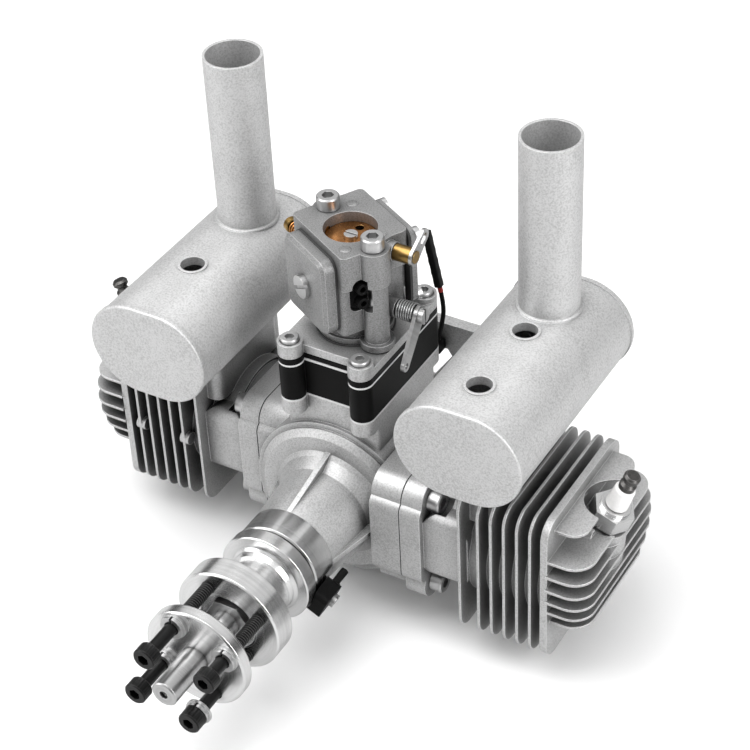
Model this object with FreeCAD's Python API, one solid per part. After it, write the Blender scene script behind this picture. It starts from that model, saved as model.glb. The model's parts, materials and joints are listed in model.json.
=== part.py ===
import FreeCAD, Part
import math
import os

os.makedirs("parts", exist_ok=True)

V = FreeCAD.Vector

# Frame: +X along the right cylinder, the crank axis along Y with the propeller at -Y, +Z up.
# The origin is the centre of the rear mounting face on the crank axis.

# Driving sizes, all in mm
BORE_R = 20.0
CRANK_R = 14.0
ROD_L = 55.0
PIN_TO_CROWN = 15.0
PISTON_L = 30.0
PISTON_GAP = 0.05
Y_RIGHT = -59.0
Y_LEFT = -43.0
CROWN = CRANK_R + ROD_L + PIN_TO_CROWN

CASE_R = 34.0
CAVITY_R = CASE_R - 3.0
DECK_X = CASE_R + 1.0
FRONT_Y = -75.5
BOSS_END = -16.0

MAIN_R = 7.5
BEARING_R = 17.5
BEARING_W = 11.0
SMALL_BEARING_R = 14.0
RUN_GAP = 0.05
WEB_R = 24.0
WEB_GAP = 0.3
ROD_HALF = 4.2

NOSE_BACK = -104.0
NOSE_FRONT = -115.5
NOSE_R = 17.5
HUB_BACK = -116.5
HUB_FRONT = -147.0
SHAFT_TIP = -187.0
PLATE_FRONT = SHAFT_TIP + 19.3
PLATE_T = 5.0
SHAFT_R = 5.0
PROP_PCD = 30.0
PROP_TURN = 27.0

FLANGE_T = 8.2
GASKET_T = 0.5
BOLT_Y = 17.5
BOLT_Z = 19.5
DECK_HALF_Y = 27.0
DECK_LOW = -16.0
DECK_TOP = 20.0
DECK_LOBE = 7.5
LOW_LOBE = 7.0
CASE_LOBE = 4.5
FIN_Y = 29.5
FIN_LOW = -28.0
FIN_HIGH = 35.5
FIN_T = 1.0
HEAD_X = 93.2
HEAD_END = 111.5
DECK_END = 84.5

PLUG_ANGLE = 69.0
PLUG_SEAT_X = 104.8
PLUG_SEAT_Z = 20.3

MUFF_X = 63.9
MUFF_Z = 59.7
MUFF_HALF = 5.6
MUFF_R = 18.6
MUFF_WALL = 1.3
MUFF_FRONT = -94.0
MUFF_BACK = -2.5
PIPE_Y = -22.6
PIPE_R = 11.2
PIPE_TOP = 147.9
PAD_Z = 39.8
PORT_HALF_X = 6.0
PORT_HALF_Y = 11.5
MUFF_BOLT_Y = 17.2

STACK_Y = -49.6
LOBE_X = 14.6
LOBE_Y = 23.4
LOBE_R = 4.7
STACK_Z = 44.5
BLOCK_T = 15.0
LINE_T = 0.8
SPACER_T = 2.7
ADAPTER_T = 3.4
ADAPTER_BOSS = 5.5

CARB_Y = -51.0
CARB_TURN = -29.5
CARB_TOP = 109.0
CARB_BOLT = 15.6
CARB_BORE_R = 9.8
THROTTLE_R = 9.0
CHOKE_Z = 104.0
THROTTLE_Z = 79.6
CHOKE_X = 26.0
THROTTLE_X = 27.2

M5_R = 2.5
M5_HEAD_R = 4.25
M5_HEAD_H = 5.0
M4_R = 2.0
M4_HEAD_R = 3.5
M4_HEAD_H = 4.0

X = V(1, 0, 0)
Y = V(0, 1, 0)
Z = V(0, 0, 1)


# Plain shapes

def box(x0, x1, y0, y1, z0, z1):
    return Part.makeBox(x1 - x0, y1 - y0, z1 - z0, V(x0, y0, z0))


def rod(start, along, length, radius):
    return Part.makeCylinder(radius, length, start, along)


def ring(start, along, length, outer, inner):
    return rod(start, along, length, outer).cut(rod(start, along, length, inner))


def fillet_along(shape, along, radius):
    picked = []
    for edge in shape.Edges:
        if len(edge.Vertexes) != 2:
            continue
        run = edge.Vertexes[1].Point.sub(edge.Vertexes[0].Point)
        if run.Length > 1e-6 and abs(run.normalize().dot(along)) > 0.999:
            picked.append(edge)
    return shape.makeFillet(radius, picked)


def soft_box(x0, x1, y0, y1, z0, z1, along, radius):
    return fillet_along(box(x0, x1, y0, y1, z0, z1), along, radius)


def turned(profile, along):
    points = [V(r, 0, h) for r, h in profile]
    wire = Part.makePolygon(points + [points[0]])
    solid = Part.Face(wire).revolve(V(0, 0, 0), Z, 360)
    if along == "y":
        solid.rotate(V(0, 0, 0), X, -90)
    if along == "x":
        solid.rotate(V(0, 0, 0), Y, 90)
    return solid


def turned_y(pairs):
    return turned([(r, y) for r, y in pairs], "y")


def fuse(shapes):
    base = shapes[0]
    return base.fuse(shapes[1:]).removeSplitter() if len(shapes) > 1 else base


def cut(shape, tools):
    for tool in tools:
        shape = shape.cut(tool)
    return shape


def moved(shape, vector):
    copy = shape.copy()
    copy.translate(vector)
    return copy


def spun(shape, angle, axis=Z, centre=V(0, 0, 0)):
    copy = shape.copy()
    copy.rotate(centre, axis, angle)
    return copy


def polygon_prism(points, start, along):
    face = Part.Face(Part.makePolygon(points + [points[0]]))
    face.translate(start)
    return face.extrude(along)


def hexagon(across, height):
    radius = across / math.sqrt(3)
    points = [V(radius * math.cos(math.radians(60 * k)), radius * math.sin(math.radians(60 * k)), 0)
              for k in range(6)]
    return polygon_prism(points, V(0, 0, 0), V(0, 0, height))


def aimed(shape, along, place):
    copy = shape.copy()
    turn = FreeCAD.Rotation(Z, along)
    copy.Placement = FreeCAD.Placement(place, turn).multiply(copy.Placement)
    return copy


def cap_screw(radius, head_r, head_h, length):
    # A socket-head screw that points down, with the underside of its head at zero
    head = rod(V(0, 0, 0), Z, head_h, head_r)
    head = head.makeChamfer(head_h * 0.08, [head.Edges[0]])
    socket = hexagon(radius * 1.6, head_h)
    socket.translate(V(0, 0, head_h * 0.5))
    shank = rod(V(0, 0, -length), Z, length + 0.1, radius)
    return head.cut(socket).fuse(shank).removeSplitter()


def slotted_screw(radius, head_r, head_h, length):
    head = rod(V(0, 0, 0), Z, head_h, head_r)
    slot = box(-head_r - 1, head_r + 1, -head_r * 0.16, head_r * 0.16, head_h * 0.45, head_h + 1)
    shank = rod(V(0, 0, -length), Z, length + 0.1, radius)
    return head.cut(slot).fuse(shank).removeSplitter()


def save(name, shapes):
    if not isinstance(shapes, list):
        shapes = [shapes]
    solids = []
    for shape in shapes:
        solids.extend(shape.Solids)
    out = solids[0] if len(solids) == 1 else Part.makeCompound(solids)
    out.exportStep("parts/%s.step" % name)


def both_sides(make):
    # The same part on the right cylinder and, turned half a turn, on the left one
    right = make()
    left = moved(spun(right, 180), V(0, Y_LEFT, 0))
    return moved(right, V(0, Y_RIGHT, 0)), left


# Intake stack outline: a block with four round bolt lobes

def stack_slice(z0, z1, side=LOBE_X + LOBE_R, wall=2.0):
    y0 = STACK_Y - LOBE_Y + wall
    y1 = STACK_Y + LOBE_Y - wall
    shapes = [soft_box(-side, side, y0, y1, z0, z1, Z, 1.5)]
    shapes.append(box(-side, -LOBE_X, STACK_Y - LOBE_Y, STACK_Y + LOBE_Y, z0, z1))
    shapes.append(box(LOBE_X, side, STACK_Y - LOBE_Y, STACK_Y + LOBE_Y, z0, z1))
    for sx in (-1, 1):
        for sy in (-1, 1):
            shapes.append(rod(V(sx * LOBE_X, STACK_Y + sy * LOBE_Y, z0), Z, z1 - z0, LOBE_R))
    return fuse(shapes)


def stack_holes(z0, z1, radius):
    holes = []
    for sx in (-1, 1):
        for sy in (-1, 1):
            holes.append(rod(V(sx * LOBE_X, STACK_Y + sy * LOBE_Y, z0), Z, z1 - z0, radius))
    return holes


INTAKE_X = 9.5
INTAKE_Y = 15.0


def intake_hole(z0, z1, side=INTAKE_X, run=INTAKE_Y):
    return soft_box(-side, side, STACK_Y - run, STACK_Y + run, z0, z1, Z, 3)


# Crankcase, cast in one piece with the rear mount

MOUNT_X = 28.0
MOUNT_Z = 33.0
MOUNT_T = 5.0
MOUNT_HOLE_R = 2.75


def mount_plate():
    half_x = MOUNT_X + 7
    half_z = MOUNT_Z + 7
    plate = soft_box(-half_x, half_x, -MOUNT_T, 0, -half_z, half_z, Y, 7)
    windows = []
    for flip in (1, -1):
        windows.append(polygon_prism([V(-2, 0, flip * 8.0), V(-14, 0, flip * 25), V(-12, 0, flip * 28),
                                      V(12, 0, flip * 28), V(14, 0, flip * 25), V(2, 0, flip * 8.0)],
                                     V(0, -MOUNT_T - 1, 0), V(0, MOUNT_T + 2, 0)))
        windows.append(polygon_prism([V(flip * 11, 0, -3), V(flip * 25, 0, -21), V(flip * 28.5, 0, -19),
                                      V(flip * 28.5, 0, 19), V(flip * 25, 0, 21), V(flip * 11, 0, 3)],
                                     V(0, -MOUNT_T - 1, 0), V(0, MOUNT_T + 2, 0)))
    holes = []
    for sx in (-1, 1):
        for sz in (-1, 1):
            holes.append(rod(V(sx * MOUNT_X, -MOUNT_T - 1, sz * MOUNT_Z), Y, MOUNT_T + 2, MOUNT_HOLE_R))
    return cut(plate, windows + holes)


def nose_rib(angle):
    rib = polygon_prism([V(-1, 0, 14), V(-1, 0, 24.5), V(-1, 31, 17.4), V(-1, 31, 14)],
                        V(0, 0, 0), V(2, 0, 0))
    rib = spun(rib, 180, Z)
    rib.translate(V(0, FRONT_Y + 2.5, 0))
    return spun(rib, angle, Y)


DECK_IN = DECK_X - 12.0
BORE_FLOOR = DECK_X - 10.0
BOLT_END = DECK_X - 8.5
THREAD_GAP = 0.02


def deck_outline(x0, x1, low_lobe):
    # Flat front and rear faces beside the bore, and a lobe round each bolt
    shapes = [soft_box(x0, x1, -DECK_HALF_Y, DECK_HALF_Y, DECK_LOW, DECK_TOP, X, 4)]
    shapes.append(box(x0, x1, -BOLT_Y, BOLT_Y, -BOLT_Z - low_lobe, BOLT_Z + DECK_LOBE))
    for sy in (-1, 1):
        shapes.append(rod(V(x0, sy * BOLT_Y, BOLT_Z), X, x1 - x0, DECK_LOBE))
        shapes.append(rod(V(x0, sy * BOLT_Y, -BOLT_Z), X, x1 - x0, low_lobe))
    return fuse(shapes)


def crankcase():
    body = rod(V(0, FRONT_Y + 3, 0), Y, -27.0 - FRONT_Y - 3, CASE_R)
    block = deck_outline(DECK_IN, DECK_X, CASE_LOBE)
    right = moved(block, V(0, Y_RIGHT, 0))
    left = moved(spun(block, 180), V(0, Y_LEFT, 0))
    face_r = CASE_R - 2.0
    disc = turned_y([(0, FRONT_Y), (face_r - 2.5, FRONT_Y), (face_r, FRONT_Y + 2), (face_r, FRONT_Y + 6),
                     (0, FRONT_Y + 6)])
    cone = turned_y([(0, NOSE_BACK), (17.3, NOSE_BACK), (19.2, FRONT_Y - 6), (22, FRONT_Y - 1.5),
                     (24, FRONT_Y + 0.5), (0, FRONT_Y + 0.5)])
    rear = turned_y([(0, -28), (24, -28), (21, -24), (20.5, BOSS_END), (12, BOSS_END), (10.5, -12),
                     (10.5, 0), (0, 0)])
    top = soft_box(-LOBE_X - LOBE_R, LOBE_X + LOBE_R, STACK_Y - LOBE_Y + 2, STACK_Y + LOBE_Y - 2,
                   18, STACK_Z - 5.9, Z, 1.5)
    shapes = [body, right, left, disc, cone, rear, top, stack_slice(STACK_Z - 6, STACK_Z), mount_plate()]
    shapes += [nose_rib(90 * k) for k in range(4)]
    case = fuse(shapes)
    bore_r = SPIGOT_R + 0.1
    hollows = [
        rod(V(0, -70.5, 0), Y, 39.0, CAVITY_R),
        rod(V(0, -70.6 - BEARING_W, 0), Y, BEARING_W + 0.2, BEARING_R),
        rod(V(0, NOSE_BACK - 1, 0), Y, 40, MAIN_R + 2),
        rod(V(0, -31.6, 0), Y, BEARING_W + 0.1, BEARING_R),
        rod(V(BORE_FLOOR, Y_RIGHT, 0), X, DECK_X + 1 - BORE_FLOOR, bore_r),
        rod(V(-BORE_FLOOR, Y_LEFT, 0), X.negative(), DECK_X + 1 - BORE_FLOOR, bore_r),
        intake_hole(20, STACK_Z + 1),
    ]
    start = BOLT_END - 0.1
    for sy in (-1, 1):
        for sz in (-1, 1):
            hollows.append(rod(V(start, Y_RIGHT + sy * BOLT_Y, sz * BOLT_Z), X, 12, M5_R + THREAD_GAP))
            hollows.append(rod(V(-start, Y_LEFT + sy * BOLT_Y, sz * BOLT_Z), X.negative(), 12, M5_R + THREAD_GAP))
    hollows += stack_holes(STACK_Z - 5.4, STACK_Z + 1, M4_R)
    return cut(case, hollows)


def bearing(y_back, outer, inner, width):
    # A sealed ball bearing: outer ring, inner ring and the shields between them
    step = (outer - inner) * 0.27
    rings = [ring(V(0, y_back, 0), Y, width, outer, outer - step),
             ring(V(0, y_back, 0), Y, width, inner + step, inner),
             ring(V(0, y_back + 0.6, 0), Y, width - 1.2, outer - step, inner + step)]
    return rings


def crank_bearings():
    shapes = bearing(-70.6 - BEARING_W, BEARING_R, MAIN_R + RUN_GAP, BEARING_W - 0.2)
    shapes += bearing(-31.0, BEARING_R, MAIN_R + RUN_GAP, BEARING_W - 0.6)
    shapes += bearing(NOSE_FRONT + 2.5, SMALL_BEARING_R, MAIN_R + RUN_GAP, 7)
    return shapes


def nose_ring():
    return turned_y([(SMALL_BEARING_R, NOSE_FRONT), (NOSE_R - 0.6, NOSE_FRONT), (NOSE_R, NOSE_FRONT + 0.6),
                     (NOSE_R, NOSE_BACK), (MAIN_R + 2, NOSE_BACK), (MAIN_R + 2, NOSE_FRONT + 9.5),
                     (SMALL_BEARING_R, NOSE_FRONT + 9.5)])


def nose_seal():
    return turned_y([(MAIN_R + 0.1, NOSE_FRONT + 1.2), (MAIN_R + 0.1, NOSE_FRONT + 0.4),
                     (SMALL_BEARING_R, NOSE_FRONT + 0.4), (SMALL_BEARING_R, NOSE_FRONT + 2.5),
                     (MAIN_R + 3, NOSE_FRONT + 2.5)])


# Cylinders, drawn on the right side with the bore axis on X

FIN_FIRST = 61.0
FIN_NEXT = 68.6
FIN_STEP = 5.12
FIN_X = [FIN_FIRST] + [FIN_NEXT + FIN_STEP * k for k in range(5)]
BOSS_FINS = (FIN_X[1], FIN_X[-1])
HEAD_T = 2.7
BARREL_R = 24.0
NECK_R = BORE_R + 2.8
SPIGOT_R = BORE_R + 2.4
BULGE_Y = 24.5
PLATE_STEP = 6.0
PLATE_LOW = -10.0
PLATE_MID = 8.0


def plug_frame():
    along = V(math.cos(math.radians(PLUG_ANGLE)), 0, math.sin(math.radians(PLUG_ANGLE)))
    return along, V(PLUG_SEAT_X, 0, PLUG_SEAT_Z)


def head_plate(z, half, end, corner):
    # A fin across the head with its two outer corners rounded
    plate = box(HEAD_X + HEAD_T - 0.3, end, -half, half, z - FIN_T / 2, z + FIN_T / 2)
    outer = [e for e in plate.Edges if all(abs(v.X - end) < 1e-6 for v in e.Vertexes)
             and abs(e.Vertexes[0].Z - e.Vertexes[1].Z) > FIN_T / 2]
    return plate.makeFillet(corner, outer)


def head_plates():
    plates = []
    for k in range(6):
        z = PLATE_LOW + PLATE_STEP * k
        away = (z - PLATE_MID) ** 2
        plates.append(head_plate(z, FIN_Y + 1.5 - 0.012 * away, HEAD_END - 0.006 * away, 8.5))
    plates.append(head_plate(30.5, BARREL_R, HEAD_END - 5.0, 6.0))
    return plates


def transfer_bulge(x0):
    along_x = soft_box(x0, FIN_FIRST + 1, -BULGE_Y, BULGE_Y, -12.5, 17.5, X, 5)
    along_y = soft_box(x0, FIN_FIRST + 1, -BULGE_Y, BULGE_Y, -12.5, 17.5, Y, 7)
    return along_x.common(along_y)


def cylinder():
    along, seat = plug_frame()
    deck = DECK_X + GASKET_T
    face = deck + FLANGE_T
    shapes = [deck_outline(deck, face, LOW_LOBE), transfer_bulge(face - 0.5)]
    shapes.append(rod(V(face + 6, 0, 0), X, HEAD_X + 2 - face - 6, BARREL_R))
    shapes.append(rod(V(DECK_X - 6, 0, 0), X, 10, SPIGOT_R))
    shapes.append(rod(V(deck + 0.1, 0, 0), X, 18, NECK_R))
    for x in FIN_X:
        shapes.append(soft_box(x - FIN_T / 2, x + FIN_T / 2, -FIN_Y, FIN_Y, FIN_LOW, FIN_HIGH, X, 7))
    shapes.append(soft_box(HEAD_X, HEAD_X + HEAD_T, -FIN_Y, FIN_Y, FIN_LOW, FIN_HIGH, X, 7))
    shapes.append(soft_box(HEAD_X, PLUG_SEAT_X - 0.8, -13, 13, -16, 22, X, 5))
    shapes += head_plates()
    for x in BOSS_FINS:
        shapes.append(rod(V(x - 1.9, FIN_Y - 2.6, 1.5), X, 3.8, 2.6))
    shapes.append(soft_box(MUFF_X - 9.4, MUFF_X + 9.6, -21.5, 21.5, 20, PAD_Z, Z, 4))
    body = fuse(shapes)
    access = aimed(rod(V(0, 0, 3.5), Z, 40, 11.3), along, seat)
    spot = aimed(rod(V(0, 0, 0), Z, 4, 8.2), along, seat)
    boss = turned([(0, -16), (12, -16), (9.5, -6), (7.8, 0), (0, 0)], "z")
    body = cut(body, [access, spot]).fuse(aimed(boss, along, seat)).removeSplitter()
    hollows = [
        rod(V(DECK_X - 7, 0, 0), X, DECK_END - DECK_X + 7, BORE_R),
        turned([(0, DECK_END - 0.1), (16, DECK_END - 0.1), (16, DECK_END + 2), (10.5, DECK_END + 9),
                (0, DECK_END + 9)], "x"),
        aimed(rod(V(0, 0, -28), Z, 29, 5), along, seat),
        soft_box(MUFF_X - PORT_HALF_X, MUFF_X + PORT_HALF_X, -PORT_HALF_Y, PORT_HALF_Y, 10, 50, Z, 2),
        box(48, 60, 12, 22.3, -6, 6),
        box(48, 60, -22.3, -12, -6, 6),
    ]
    for sy in (-1, 1):
        hollows.append(rod(V(MUFF_X, sy * MUFF_BOLT_Y, PAD_Z - 12), Z, 13, M5_R))
        for sz in (-1, 1):
            hollows.append(rod(V(deck - 1, sy * BOLT_Y, sz * BOLT_Z), X, FLANGE_T + 2, M5_R + 0.1))
            hollows.append(rod(V(face, sy * BOLT_Y, sz * BOLT_Z), X, 8, M5_HEAD_R + 0.35))
    return cut(body, hollows)


def base_gasket():
    sheet = deck_outline(DECK_X, DECK_X + GASKET_T, CASE_LOBE)
    holes = [rod(V(DECK_X - 1, 0, 0), X, 3, SPIGOT_R + 0.05)]
    for sy in (-1, 1):
        for sz in (-1, 1):
            holes.append(rod(V(DECK_X - 1, sy * BOLT_Y, sz * BOLT_Z), X, 3, M5_R + 0.1))
    return cut(sheet, holes)


def cylinder_screws():
    top = DECK_X + GASKET_T + FLANGE_T
    screws = []
    for sy in (-1, 1):
        for sz in (-1, 1):
            screw = cap_screw(M5_R, M5_HEAD_R, M5_HEAD_H, top - BOLT_END)
            screws.append(aimed(screw, X, V(top, sy * BOLT_Y, sz * BOLT_Z)))
    return Part.makeCompound(screws)


# Spark plugs, drawn along Z from their seat and then tilted

PLUG_HEX = 14.0
PLUG_HEX_H = 7.0


def plug_shell():
    along, seat = plug_frame()
    thread = rod(V(0, 0, -12.7), Z, 12.8, 4.95)
    washer = rod(V(0, 0, 1.0), Z, 1.2, 6.4)
    shape = fuse([thread, rod(V(0, 0, 0.0), Z, 1.6, 5.4), washer, moved(hexagon(PLUG_HEX, PLUG_HEX_H), V(0, 0, 1.5)),
                  rod(V(0, 0, 8.4), Z, 1.4, 5.6)])
    return aimed(shape.cut(rod(V(0, 0, -12.8), Z, 30, 3.4)), along, seat)


def plug_insulator():
    along, seat = plug_frame()
    shape = turned([(0, -11), (2.2, -11), (3.38, -8), (3.38, 9.9), (4.0, 9.9), (4.3, 10.4), (3.8, 18.5),
                    (3.2, 19.6), (0, 19.6)], "z")
    return aimed(shape.cut(rod(V(0, 0, -13), Z, 34, 1.2)), along, seat)


def plug_terminal():
    along, seat = plug_frame()
    shape = turned([(0, -12.4), (1.2, -12.4), (1.2, 19.6), (3.0, 19.6), (3.1, 21.6), (2.1, 22.6), (2.1, 23.4),
                    (3.0, 24.2), (3.1, 25.6), (2.4, 26.4), (0, 26.4)], "z")
    return aimed(shape, along, seat)


# Mufflers: a long can of stadium section with end caps, outlet pipe and access holes

def stadium(half, radius, y0, y1):
    core = box(-half, half, y0, y1, -radius, radius)
    ends = [rod(V(s * half, y0, 0), Y, y1 - y0, radius) for s in (-1, 1)]
    shape = fuse([core] + ends)
    shape.translate(V(MUFF_X, 0, MUFF_Z))
    return shape


CAP_T = 2.4
FLOOR_X = 9.5
FLOOR_Y = 21.5
FLOOR_TOP = PAD_Z + 6.0
PIPE_WALL = 1.1


def muffler_cap(y0, outside):
    # A pressed end cap with its outer edge rounded
    cap = stadium(MUFF_HALF, MUFF_R + 0.45, y0, y0 + CAP_T)
    rim = [edge for edge in cap.Edges if all(abs(v.Y - outside) < 1e-6 for v in edge.Vertexes)]
    return cap.makeFillet(0.9, rim)


def muffler_floor(cyl_y, top):
    return soft_box(MUFF_X - FLOOR_X, MUFF_X + FLOOR_X, cyl_y - FLOOR_Y, cyl_y + FLOOR_Y, PAD_Z + 0.8, top, Z, 4)


def muffler(cyl_y, holes):
    top = MUFF_Z + MUFF_R
    foot = top - 3.0
    can = stadium(MUFF_HALF, MUFF_R, MUFF_FRONT + CAP_T, MUFF_BACK - CAP_T)
    can = can.cut(stadium(MUFF_HALF, MUFF_R - MUFF_WALL, MUFF_FRONT, MUFF_BACK))
    bead = Part.makeTorus(PIPE_R + 0.2, 0.9, V(MUFF_X, PIPE_Y, top - 0.2), Z)
    collars = [rod(V(MUFF_X, y, foot), Z, 3.7, 5.6) for y in holes]
    can = fuse([can, bead] + collars)
    openings = [rod(V(MUFF_X, PIPE_Y, foot - 3), Z, 20, PIPE_R), muffler_floor(cyl_y, FLOOR_TOP)]
    openings += [rod(V(MUFF_X, y, foot - 3), Z, 20, 4.6) for y in holes]
    can = cut(can, openings)
    port = soft_box(MUFF_X - PORT_HALF_X, MUFF_X + PORT_HALF_X, cyl_y - PORT_HALF_Y, cyl_y + PORT_HALF_Y,
                    PAD_Z - 1, FLOOR_TOP + 2, Z, 2)
    bolts = [rod(V(MUFF_X, cyl_y + s * MUFF_BOLT_Y, PAD_Z), Z, 7, M5_R + 0.1) for s in (-1, 1)]
    floor = cut(muffler_floor(cyl_y, FLOOR_TOP), [port] + bolts)
    pipe = ring(V(MUFF_X, PIPE_Y, foot), Z, PIPE_TOP - foot, PIPE_R, PIPE_R - PIPE_WALL)
    caps = [muffler_cap(MUFF_FRONT, MUFF_FRONT), muffler_cap(MUFF_BACK - CAP_T, MUFF_BACK)]
    return [can, floor, pipe] + caps


def exhaust_gasket():
    sheet = soft_box(MUFF_X - 9.5, MUFF_X + 9.5, -21.5, 21.5, PAD_Z, PAD_Z + 0.8, Z, 4)
    holes = [soft_box(MUFF_X - PORT_HALF_X, MUFF_X + PORT_HALF_X, -PORT_HALF_Y, PORT_HALF_Y,
                      PAD_Z - 1, PAD_Z + 2, Z, 2)]
    holes += [rod(V(MUFF_X, s * MUFF_BOLT_Y, PAD_Z - 1), Z, 3, M5_R + 0.1) for s in (-1, 1)]
    return cut(sheet, holes)


def muffler_screws():
    screws = []
    for s in (-1, 1):
        screw = cap_screw(M5_R, M5_HEAD_R, M5_HEAD_H, 16)
        screws.append(moved(screw, V(MUFF_X, s * MUFF_BOLT_Y, PAD_Z + 6.0)))
    return Part.makeCompound(screws)


# Intake stack above the crankcase

Z_BLOCK = STACK_Z + LINE_T
Z_LINE = Z_BLOCK + BLOCK_T
Z_SPACER = Z_LINE + LINE_T
Z_ADAPTER = Z_SPACER + SPACER_T
Z_CARB = Z_ADAPTER + ADAPTER_T


def stack_sheet(z0, z1, wall=2.0):
    return cut(stack_slice(z0, z1, wall=wall), [intake_hole(z0 - 1, z1 + 1)] + stack_holes(z0 - 1, z1 + 1, M4_R + 0.15))


def intake_block():
    return cut(stack_slice(Z_BLOCK, Z_LINE), [intake_hole(Z_BLOCK - 1, Z_LINE + 1, 14, 18.5)]
               + stack_holes(Z_BLOCK - 1, Z_LINE + 1, M4_R + 0.15))


def reed_block():
    flange = soft_box(-13.9, 13.9, STACK_Y - 18.4, STACK_Y + 18.4, Z_LINE - 2.5, Z_LINE, Z, 3)
    wedge = polygon_prism([V(-8.5, 0, 0), V(8.5, 0, 0), V(1.2, 0, -13), V(-1.2, 0, -13)],
                          V(0, STACK_Y - 14, Z_LINE - 2.4), V(0, 28, 0))
    throat = polygon_prism([V(-6.8, 0, 1), V(6.8, 0, 1), V(0.3, 0, -12)],
                           V(0, STACK_Y - 12.5, Z_LINE - 2.0), V(0, 25, 0))
    inlet = soft_box(-6.8, 6.8, STACK_Y - 12.5, STACK_Y + 12.5, Z_LINE - 3, Z_LINE + 1, Z, 2)
    windows = []
    for y in (-8.3, 0, 8.3):
        windows.append(box(-9, 9, STACK_Y + y - 3.0, STACK_Y + y + 3.0, Z_LINE - 11.5, Z_LINE - 5.0))
    return cut(fuse([flange, wedge]), [throat, inlet] + windows)


def reed_petals():
    slope = math.degrees(math.atan2(7.3, 13.0))
    leaves = []
    for side in (1, -1):
        leaf = box(0.0, 0.3, STACK_Y - 12.0, STACK_Y + 12.0, -11.5, -0.5)
        for y in (-4.15, 4.15):
            leaf = leaf.cut(box(-1, 1, STACK_Y + y - 0.3, STACK_Y + y + 0.3, -12, -2.5))
        leaf.rotate(V(0, 0, 0), Y, slope)
        leaf.translate(V(8.5, 0, Z_LINE - 2.4))
        leaves.append(leaf if side == 1 else moved(spun(leaf, 180), V(0, 2 * STACK_Y, 0)))
    return leaves


def adapter_plate():
    plate = stack_slice(Z_ADAPTER, Z_CARB)
    lobes = [rod(V(sx * LOBE_X, STACK_Y + sy * LOBE_Y, Z_ADAPTER), Z, ADAPTER_BOSS, LOBE_R)
             for sx in (-1, 1) for sy in (-1, 1)]
    plate = fuse([plate] + lobes)
    holes = stack_holes(Z_ADAPTER - 1, Z_CARB + 8, M4_R + 0.15)
    holes += stack_holes(Z_ADAPTER + ADAPTER_BOSS - 2.4, Z_CARB + 8, M4_HEAD_R + 0.15)
    holes.append(rod(V(0, CARB_Y, Z_ADAPTER - 1), Z, 9, THROTTLE_R))
    for s in (-1, 1):
        holes.append(rod(carb_point(s * CARB_BOLT, 0, Z_ADAPTER - 1), Z, 9, M5_R))
    return cut(plate, holes)


def adapter_screws():
    top = Z_ADAPTER + ADAPTER_BOSS - 2.4
    screws = []
    for sx in (-1, 1):
        for sy in (-1, 1):
            screw = cap_screw(M4_R, M4_HEAD_R, M4_HEAD_H, top - STACK_Z + 5.0)
            screws.append(moved(screw, V(sx * LOBE_X, STACK_Y + sy * LOBE_Y, top)))
    return screws


# Carburettor: its body is turned about Z, its two shafts run along X

def carb_point(a, b, z):
    turn = math.radians(CARB_TURN)
    return V(a * math.cos(turn) - b * math.sin(turn), CARB_Y + a * math.sin(turn) + b * math.cos(turn), z)


def carb_shape(shape):
    return moved(spun(shape, CARB_TURN), V(0, CARB_Y, 0))


BASE_T = 0.6
COVER_IN = -13.0
COVER_OUT = 16.0
SHEET_T = 1.0
CARB_RIGHT = 15.0
CARB_LEFT = -17.0
CHOKE_FACE = 18.0
GUIDE_A = 10.6
GUIDE_B = -5.4
GUIDE_DEEP = 20.6
EAR_R = 5.8
TOP_LEFT = CARB_LEFT - 2.5
IDLE_B = COVER_IN + 3.6
IDLE_Z = CARB_TOP - 10.5


def carb_top_outline(inset, z0, z1):
    # Seen from above: a straight left side, a step at the front right and a slanted right side
    points = [V(TOP_LEFT + inset, COVER_IN, z0), V(CARB_RIGHT + 1.5 - inset, COVER_IN, z0),
              V(CARB_RIGHT + 1.5 - inset, COVER_IN + 10, z0), V(CARB_RIGHT - 2.2 - inset, COVER_IN + 22, z0),
              V(CARB_RIGHT - 2.2 - inset, COVER_OUT, z0), V(TOP_LEFT + inset, COVER_OUT, z0)]
    return fillet_along(polygon_prism(points, V(0, 0, 0), V(0, 0, z1 - z0)), Z, 2)


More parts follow.
